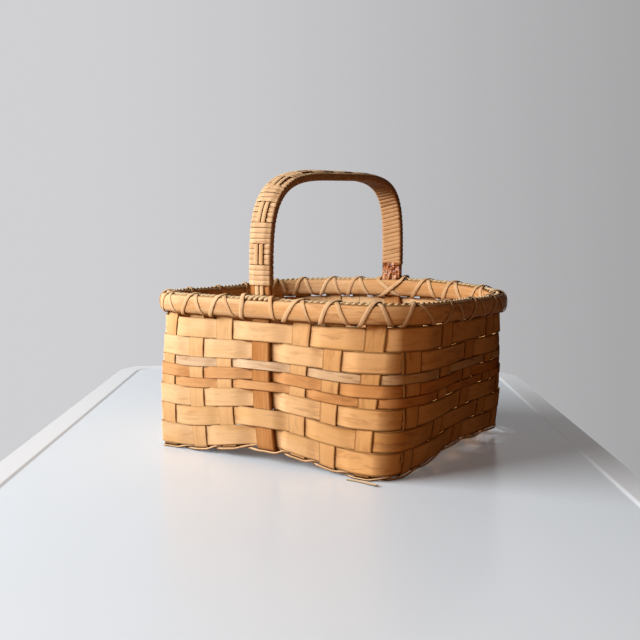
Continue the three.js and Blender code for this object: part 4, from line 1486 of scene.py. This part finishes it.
def makeLooseSplint():
    share = np.linspace(0, 1, looseSplint["points"])
    level = looseSplint["thick"] / 2 + looseSplint["lift"]
    start, end = (np.array([*looseSplint[key], level]) for key in ("from", "to"))
    travel = unit(end - start)
    side = np.cross(up, travel)
    bow = np.sin(np.pi * share) * looseSplint["curl"]
    centre = lerp(start, end, share[:, None]) + side * bow[:, None]
    centre[:, 2] += looseSplint["tipLift"] * share**3
    bulge = np.sin(np.pi * np.clip(share * 0.8 + 0.1, 0, 1))
    taper = looseSplint["tip"] + (1 - looseSplint["tip"]) * bulge
    taper = taper + wander(len(share), *looseSplint["wobble"], looseSplint["seed"] - 1)
    path = makePath(centre, side, up, looseSplint["width"] / 2 * taper, looseSplint["thick"] / 2)
    # Its paler tones are painted light
    look = splintProfile, looseSplint["corner"], finishes["bleachedSplint"], "pale_splint"
    sweep("splint_loose_end", path, *look, [], looseSplint["seed"])


handleHoop()
handleWrap()
handleStrap(1, -1)
handleStrap(2, 1)
gluePatch()
makeSplitStrip()
makeLooseSplint()
print("handle wrapped")

# The rim: a half-round hoop on each side of the wall, with a twisted grass cord over the gap
rim = {
    "height": 16.0,
    "thick": 5.0,
    "ease": 0.75,
    "wobble": (0.08, 30),
    "lap": 70.0,
    "lapPoints": (120, 250),
    "points": 420,
    "seed": 71,
}
filler = {
    "radius": 2.1,
    "strandShare": 0.6,
    "orbitShare": 0.52,
    "sides": 8,
    "lay": 11.0,
    "rise": -0.7,
    "climb": 2.0,
    "easing": 12.0,
    "wobble": (0.15, 50),
    "points": 1400,
    "seed": 2,
    "wobbleSeed": 9,
}
clamped = max(1.5 * basket["thick"] + basket["gap"], handleHalf)
hoopFace = clamped + basket["gap"] + rim["ease"]


def rimHoop(name, side, seed):
    lengths = np.linspace(0, rimAround, rim["points"], endpoint=False)
    at, out, _ = onRim(lengths)
    half = rim["thick"] / 2 + wander(len(lengths), *rim["wobble"], seed)
    middle = rimLow + rim["height"] / 2
    centre = at + up * middle + out * (side * (hoopFace + half))[:, None]
    path = makePath(centre, up, out * side, rim["height"] / 2, half, isClosed=True)
    path = lapped(path, rim["lapPoints"][side > 0], rim["lap"])
    sweep("reed_" + name, path, reedProfile, 0.0, finishes["rimWood"], "rim_wood", [name], seed)


handleLengths = [s["length"] for s in stakes if s["isHandle"]]
fillerOut = strapLow + strap["half"][1] + basket["gap"] + filler["radius"]


# How far the cord stands out and how high it lies: it goes round the outside of the handle's legs
def fillerPlace(length):
    away = [
        np.abs(np.mod(length - leg + rimAround / 2, rimAround) - rimAround / 2) - basket["handleWidth"] / 2
        for leg in handleLengths
    ]
    share = 1 - ease(np.minimum.reduce(away) / filler["easing"])
    climb = filler["climb"] * np.minimum(1, 2 * share)
    return fillerOut * share, rimTop + filler["rise"] + climb


def rimFiller():
    lengths = np.linspace(0, rimAround, filler["points"], endpoint=False)
    at, out, _ = onRim(lengths)
    shift, height = fillerPlace(lengths)
    centre = at + out * shift[:, None] + up * height[:, None]
    centre[:, 2] += wander(len(lengths), *filler["wobble"], filler["wobbleSeed"])
    path = makePath(centre, out, up, 1, 1, isClosed=True)
    made = pathObject("grass_rim_filler", path, filler["seed"])
    run = np.linalg.norm(np.diff(np.vstack([centre, centre[:1]]), axis=0), axis=1).sum()
    values = {
        "Strand radius": filler["radius"] * filler["strandShare"] * mm,
        "Orbit": filler["radius"] * filler["orbitShare"] * mm,
        "Lay length": run / round(rimAround / filler["lay"]) * mm,
        "Sides": filler["sides"],
        "Material": finishes["seagrass"],
    }
    applyGraph(made, twistTree, values)
    settle(made, isDomed=False)
    finishPiece(made, ["rim_filler"])


rimHoop("outer_rim", 1, rim["seed"])
rimHoop("inner_rim", -1, rim["seed"] + 1)
rimFiller()
print("rim hoops and filler done")

# The lashing: two canes that cross over the rim at every stake
lashing = {
    "width": 3.9,
    "thick": 0.85,
    "gap": 0.12,
    "squeeze": 0.4,
    "apart": 4.0,
    "aside": 2.4,
    "handleSide": 3.0,
    "topCrossing": (0.8, 0.25),
    "footCrossing": 0.16,
    "spacing": 1.2,
    "cordPoints": 16,
    "startHeight": 3.0,
    "topDepth": 1.0,
    "softening": [0.1, 0.2, 0.4, 0.2, 0.1],
    "leastSlant": 0.35,
    "seed": 81,
}


def hullOf(points):
    ordered = sorted(map(tuple, points))

    def half(run):
        kept = []
        for p in run:
            while len(kept) > 1:
                (ax, ay), (bx, by) = kept[-2], kept[-1]
                if (bx - ax) * (p[1] - ay) - (by - ay) * (p[0] - ax) > 1e-3:
                    break
                kept.pop()
            kept.append(p)
        return kept[:-1]

    return np.array(half(ordered) + half(ordered[::-1]))


def hoopSection():
    # The two hoops' outline, as their profile draws it
    middle = rimLow + rim["height"] / 2
    points = []
    for x, y in domeSpots(**reedShape):
        n, height = rim["thick"] * (y + 1) / 2, middle + x * rim["height"] / 2
        points += [(side * (hoopFace + n), height) for side in (1, -1)]
    return points


# The line round hoops and filler that a cane is drawn tight on, as places out from the wall and heights
def tightLine(lengths):
    points = hoopSection()
    reach = filler["radius"] - lashing["squeeze"]
    for length in lengths:
        shift, height = fillerPlace(length)
        for a in np.linspace(0, 2 * np.pi, lashing["cordPoints"], endpoint=False):
            points.append((shift + reach * math.cos(a), height + reach * math.sin(a)))
    hull = hullOf(points)
    dense = []
    for a, b in zip(hull, np.roll(hull, -1, 0)):
        pieces = max(1, int(np.hypot(*(b - a)) / lashing["spacing"]))
        dense += [lerp(a, b, t) for t in np.arange(pieces) / pieces]
    return np.array(dense)


def makeLashing(name, direction, layer, seed):
    lay = layer * (lashing["thick"] + lashing["gap"])
    skin = lashing["gap"] + lashing["thick"] / 2
    beside = basket["handleWidth"] / 2 + lashing["handleSide"] + lashing["width"] / 2
    order = stakes if direction > 0 else stakes[::-1]
    count = len(order)
    centres, outs, tangents = [], [], []
    for i, stake in enumerate(order):
        before = np.mod(direction * (stake["length"] - order[i - 1]["length"]), rimAround)
        after = np.mod(direction * (order[(i + 1) % count]["length"] - stake["length"]), rimAround)
        low, lowIn = lashing["aside"] - before / 2, after / 2 - lashing["aside"]
        over, overIn = (-beside, -beside) if stake["isHandle"] else (-lashing["apart"], lashing["apart"])
        edges = (over - lashing["width"] / 2, over + lashing["width"] / 2)
        line = tightLine([stake["length"] + direction * edge for edge in edges])
        flow = unit(np.roll(line, -1, 0) - np.roll(line, 1, 0))
        normal = np.stack([flow[:, 1], -flow[:, 0]], -1)
        # The upper cane is lifted over the lower one where they cross, at the top and the foot of the rim
        height = (line[:, 1] - rimLow) / rim["height"]
        top, topEase = lashing["topCrossing"]
        foot = lashing["footCrossing"]
        crossing = np.maximum(ease((height - top) / topEase), ease((foot - height) / foot))
        if stake["isHandle"]:
            crossing = np.where(line[:, 0] < 0, 1.0, crossing)
        line = line + normal * (skin + lay * crossing)[:, None]
        # Each turn starts below the outer hoop
        isOut, isLow = line[:, 0] > 0, line[:, 1] < rimLow + lashing["startHeight"]
        start = int(np.argmax(isOut & ~np.roll(isOut, 1) & isLow))
        line, normal = np.roll(line, -start, 0), np.roll(normal, -start, 0)
        run = np.concatenate([[0], np.cumsum(np.linalg.norm(np.diff(line, axis=0), axis=1))])
        topRun = run[line[:, 1] > rimTop - lashing["topDepth"]]
        along = np.interp(run, [0, topRun[0], topRun[-1], run[-1]], [low, over, overIn, lowIn])
        at, out, tangent = onRim(stake["length"] + direction * along)
        centres.append(at + out * line[:, :1] + up * line[:, 1:])
        outs.append(out * normal[:, :1] + up * normal[:, 1:])
        tangents.append(tangent)
    centre, out, tangent = (np.concatenate(v) for v in (centres, outs, tangents))
    reach = len(lashing["softening"]) // 2
    padded = (np.pad(column, reach, mode="edge") for column in centre.T)
    smooth = np.stack([np.convolve(column, lashing["softening"], "valid") for column in padded], -1)
    # Its sections lie along the rim, so they are wider where it slants, for the same width across it
    slant = np.linalg.norm(np.cross(unit(np.gradient(smooth, axis=0)), tangent), axis=1)
    width = lashing["width"] / 2 / np.maximum(slant, lashing["leastSlant"])
    path = makePath(smooth, tangent, unit(out), width, lashing["thick"] / 2)
    sweep("cane_" + name, path, caneProfile, 0.0, finishes["caneSkin"], "cane", [name], seed)


makeLashing("rim_lashing_under", -1, 0, lashing["seed"])
makeLashing("rim_lashing_over", 1, 1, lashing["seed"] + 1)
print("rim lashed")

# Twining: two round reeds that cross between the stakes, round the foot of the wall
twine = {
    "radius": 0.95,
    "lift": 1.35,
    "swell": 0.25,
    "sink": 0.1,
    "steps": 6,
    "seed": 90,
}


def throughKnots(knots, steps):
    # A smooth closed line through its knots, with steps points for each
    count = len(knots)
    t = np.arange(count * steps) / steps
    i = t.astype(int)
    f = (t - i)[:, None]
    before, at, after, beyond = (knots[(i + q) % count] for q in (-1, 0, 1, 2))
    squared = 2 * before - 5 * at + 4 * after - beyond
    cubed = 3 * at - before - 3 * after + beyond
    return 0.5 * (2 * at + (after - before) * f + squared * f**2 + cubed * f**3)


def twiningStrand(number):
    stops = []
    for i, stake in enumerate(stakes):
        inside, corner, wall = bendOf(stake)
        middle = inside / 4 + corner / 2 + wall / 4
        forward = unit(wall - inside)
        along = np.cross(up, stake["footOut"])
        out = unit(np.cross(along, forward))
        side = 1 if (i + number) % 2 else -1
        away = side * (halfThick(stake) + basket["gap"] + twine["radius"] - twine["sink"])
        reach = float(stakeWidth(stake, 0.0)) / 2 + basket["margin"]
        stops.append((middle, along, forward, out, side, away, reach))
    knots = []
    for (middle, along, forward, out, side, away, reach), after in zip(stops, stops[1:] + stops[:1]):
        nextMiddle, nextAlong, nextForward, _, _, _, nextReach = after
        for t in (-1, 0, 1):
            swell = twine["swell"] * side * (1 - abs(t))
            knots.append(middle + out * (away + swell) + along * reach * t)
        a, d = middle + along * reach, nextMiddle - nextAlong * nextReach
        grip = np.linalg.norm(d - a) * weaverLook["straight"]
        b, c = a + along * grip, d - nextAlong * grip
        between = (a + 3 * b + 3 * c + d) / 8
        knots.append(between + unit(forward + nextForward) * side * twine["lift"])
    centre = throughKnots(np.array(knots), twine["steps"])
    travel = unit(np.roll(centre, -1, 0) - np.roll(centre, 1, 0))
    side = unit(np.cross(travel, up))
    half = twine["radius"], twine["radius"]
    path = makePath(centre, side, np.cross(side, travel), *half, isClosed=True)
    name = f"twining_strand_{number}"
    look = roundProfile, 0.0, finishes["caneSkin"], "cane"
    sweep("reed_" + name, path, *look, [name], twine["seed"] + number, isDomed=True)


twiningStrand(1)
twiningStrand(2)
print("foot twined")

for profile in (splintProfile, handleProfile, reedProfile, caneProfile, wrapProfile, roundProfile):
    bpy.data.objects.remove(profile)

# Camera, as the photograph was taken
view = {
    "lens": 52.82,
    "sensor": 36.0,
    "place": (0.46398, -0.74614, 0.20823),
    "yaw": 32.668,
    "down": 6.304,
    "roll": 0.148,
    "shift": -1 / 640,
}
yaw, down, roll = (math.radians(view[key]) for key in ("yaw", "down", "roll"))
right = Vector((math.cos(yaw), math.sin(yaw), 0))
flatAhead = Vector((-math.sin(yaw), math.cos(yaw), 0))
ahead = flatAhead * math.cos(down) - Vector((0, 0, math.sin(down)))
above = right.cross(ahead)
cameraData = bpy.data.cameras.new("camera")
cameraData.lens = view["lens"]
cameraData.sensor_width = view["sensor"]
cameraData.shift_x = view["shift"]
camera = bpy.data.objects.new("camera", cameraData)
bpy.context.scene.collection.objects.link(camera)
columns = (
    math.cos(roll) * right + math.sin(roll) * above,
    math.cos(roll) * above - math.sin(roll) * right,
    -ahead,
    Vector(view["place"]),
)
camera.matrix_world = Matrix([[c[i] for c in columns] for i in range(3)] + [[0, 0, 0, 1]])
bpy.context.scene.camera = camera

# A white table top with rounded corners and a raised edge, painted on a floor that is wall grey beyond it.
# left, right, near and far are its sides as the camera sees them, and wallSpan is in shares sideways.
stage = {
    "table": "eff7fd",
    "gloss": 0.22,
    "shine": 0.3,
    "left": -0.285,
    "right": 0.245,
    "far": 0.405,
    "near": -1.0,
    "tilt": -0.08,
    "corner": 0.05,
    "cornerSoft": 0.0012,
    "ledge": (0.028, 0.022),
    "ledgeHeight": 0.0013,
    # The raised edge is painted a little lighter, as a painted highlight
    "ledgeHighlight": "f8fafb",
    "share": 0.095,
    "glow": "eef0f3",
    "bounce": (0.05, 0.018, 0.005),
    "size": 6.0,
    "wallLeft": "d0d0d2",
    "wallRight": "979798",
    "wallSpan": (-0.3, 0.6),
    "ambient": (1.0, 0.55, 0.3),
    "ambientStrength": 0.012,
}


def seenRays(tree):
    rays = addNode(tree, "ShaderNodeLightPath").outputs
    seen = (Wire(tree, rays[key]) for key in ("Is Camera Ray", "Is Glossy Ray", "Is Transmission Ray"))
    return sum(seen, 0.0).clipped()


def measured(tree, spot, direction):
    made = addNode(tree, "ShaderNodeVectorMath", {"operation": "DOT_PRODUCT"}, [spot, direction])
    return Wire(tree, made.outputs["Value"])


# The wall is lighter at the left, by the sideways share of the direction from the camera
def wallColour(finish, across, forward):
    share = across / (across * across + forward * forward) ** 0.5
    shade = finish.span(share, *stage["wallSpan"])
    return finish.mix(shade, hexColour(stage["wallLeft"]), hexColour(stage["wallRight"]))


def mixInto(tree, kind, share, first, second):
    mixed = addNode(tree, "ShaderNodeMixShader", None, {0: share, 1: first, 2: second})
    leave = next(node for node in tree.nodes if node.type == kind)
    tree.links.new(mixed.outputs[0], leave.inputs["Surface"])


def tableFinish():
    finish = Finish("paleTable")
    tree = finish.tree
    spot = finish.node("ShaderNodeTexCoord", None, None, "Object")
    across, distance = measured(tree, spot, right), measured(tree, spot, flatAhead)

    def beyond(measure, low, high):
        offset = measure - (low + high) / 2
        return (offset.math("ABSOLUTE", offset) - ((high - low) / 2 - stage["corner"])).clipped(0, 10)

    sidePart = beyond(across, stage["left"], stage["right"])
    endPart = beyond(distance - across * stage["tilt"], stage["near"], stage["far"])
    reach = (sidePart * sidePart + endPart * endPart) ** 0.5
    corner, soft = stage["corner"], stage["cornerSoft"]
    isWall = finish.span(reach, corner - soft, corner + soft)
    ledge = finish.span(reach, *(corner - inset for inset in stage["ledge"]))
    # Painted highlight: the raised edge a little lighter than the top
    top = finish.mix(ledge, hexColour(stage["table"]), hexColour(stage["ledgeHighlight"]))
    # Light that bounces off the table is dimmed, for the deep shade of the photograph
    bounced = Wire(tree, addNode(tree, "ShaderNodeLightPath").outputs["Is Diffuse Ray"])
    finish.use(
        colour=finish.mix((bounced + isWall).clipped(), top, stage["bounce"]),
        roughness=stage["gloss"],
        normal=finish.bump(ledge, 1.0, stage["ledgeHeight"]),
        specular=stage["shine"],
    )
    place = Vector(view["place"])
    grey = wallColour(finish, across - place.dot(right), distance - place.dot(flatAhead))
    colour = finish.mix(isWall, hexColour(stage["glow"]), grey)
    glow = addNode(tree, "ShaderNodeEmission", None, {"Color": colour, "Strength": 1.0})
    # To the camera the wall is all glow and the table only a little
    share = seenRays(tree) * (isWall * (1 - stage["share"]) + stage["share"])
    mixInto(tree, "OUTPUT_MATERIAL", share, finish.shader.outputs[0], glow.outputs[0])
    return finish.material


size = stage["size"]
floorCorners = [(-size, -size, 0), (size, -size, 0), (size, size, 0), (-size, size, 0)]
floorMesh = bpy.data.meshes.new("floor")
floorMesh.from_pydata(floorCorners, [], [(0, 1, 2, 3)])
floorMesh.materials.append(tableFinish())
floor = bpy.data.objects.new("floor", floorMesh)
bpy.context.scene.collection.objects.link(floor)

# Soft light from a window at the left, a small warm fill low beside the camera and a faint warm return
# from the right
lights = {
    "window": {
        "place": (-1.68, -1.50, 1.11),
        "size": (2.25, 0.75),
        "power": 111.5,
        "colour": (0.98, 0.985, 1.0),
    },
    "fill": {"place": (0.42, -0.92, 0.16), "size": (0.4, 0.3), "power": 1.5, "colour": (1.0, 0.52, 0.23)},
    "return": {"place": (1.5, -0.1, 0.22), "size": (0.5, 0.5), "power": 0.35, "colour": (1.0, 0.3, 0.07)},
}
lightTarget = Vector((0, 0, 0.1))
for name, lamp in lights.items():
    data = bpy.data.lights.new(name, "AREA")
    data.shape = "RECTANGLE"
    data.size, data.size_y = lamp["size"]
    data.energy = lamp["power"]
    data.color = lamp["colour"]
    made = bpy.data.objects.new(name, data)
    made.location = lamp["place"]
    made.rotation_euler = (lightTarget - Vector(lamp["place"])).to_track_quat("-Z", "Y").to_euler()
    bpy.context.scene.collection.objects.link(made)

world = bpy.data.worlds.new("studio")
world.use_nodes = True
air = world.node_tree
ambient = air.nodes["Background"]
ambient.inputs["Color"].default_value = (*stage["ambient"], 1)
ambient.inputs["Strength"].default_value = stage["ambientStrength"]
backdrop = Finish("backdrop", air)
heading = backdrop.node("ShaderNodeTexCoord", None, None, "Generated")
wallGrey = wallColour(backdrop, measured(air, heading, right), measured(air, heading, flatAhead))
wall = addNode(air, "ShaderNodeBackground", None, {"Color": wallGrey, "Strength": 1.0})
mixInto(air, "OUTPUT_WORLD", seenRays(air), ambient.outputs[0], wall.outputs[0])
bpy.context.scene.world = world
bpy.context.scene.view_settings.view_transform = "Standard"
print("stage, camera and light ready")
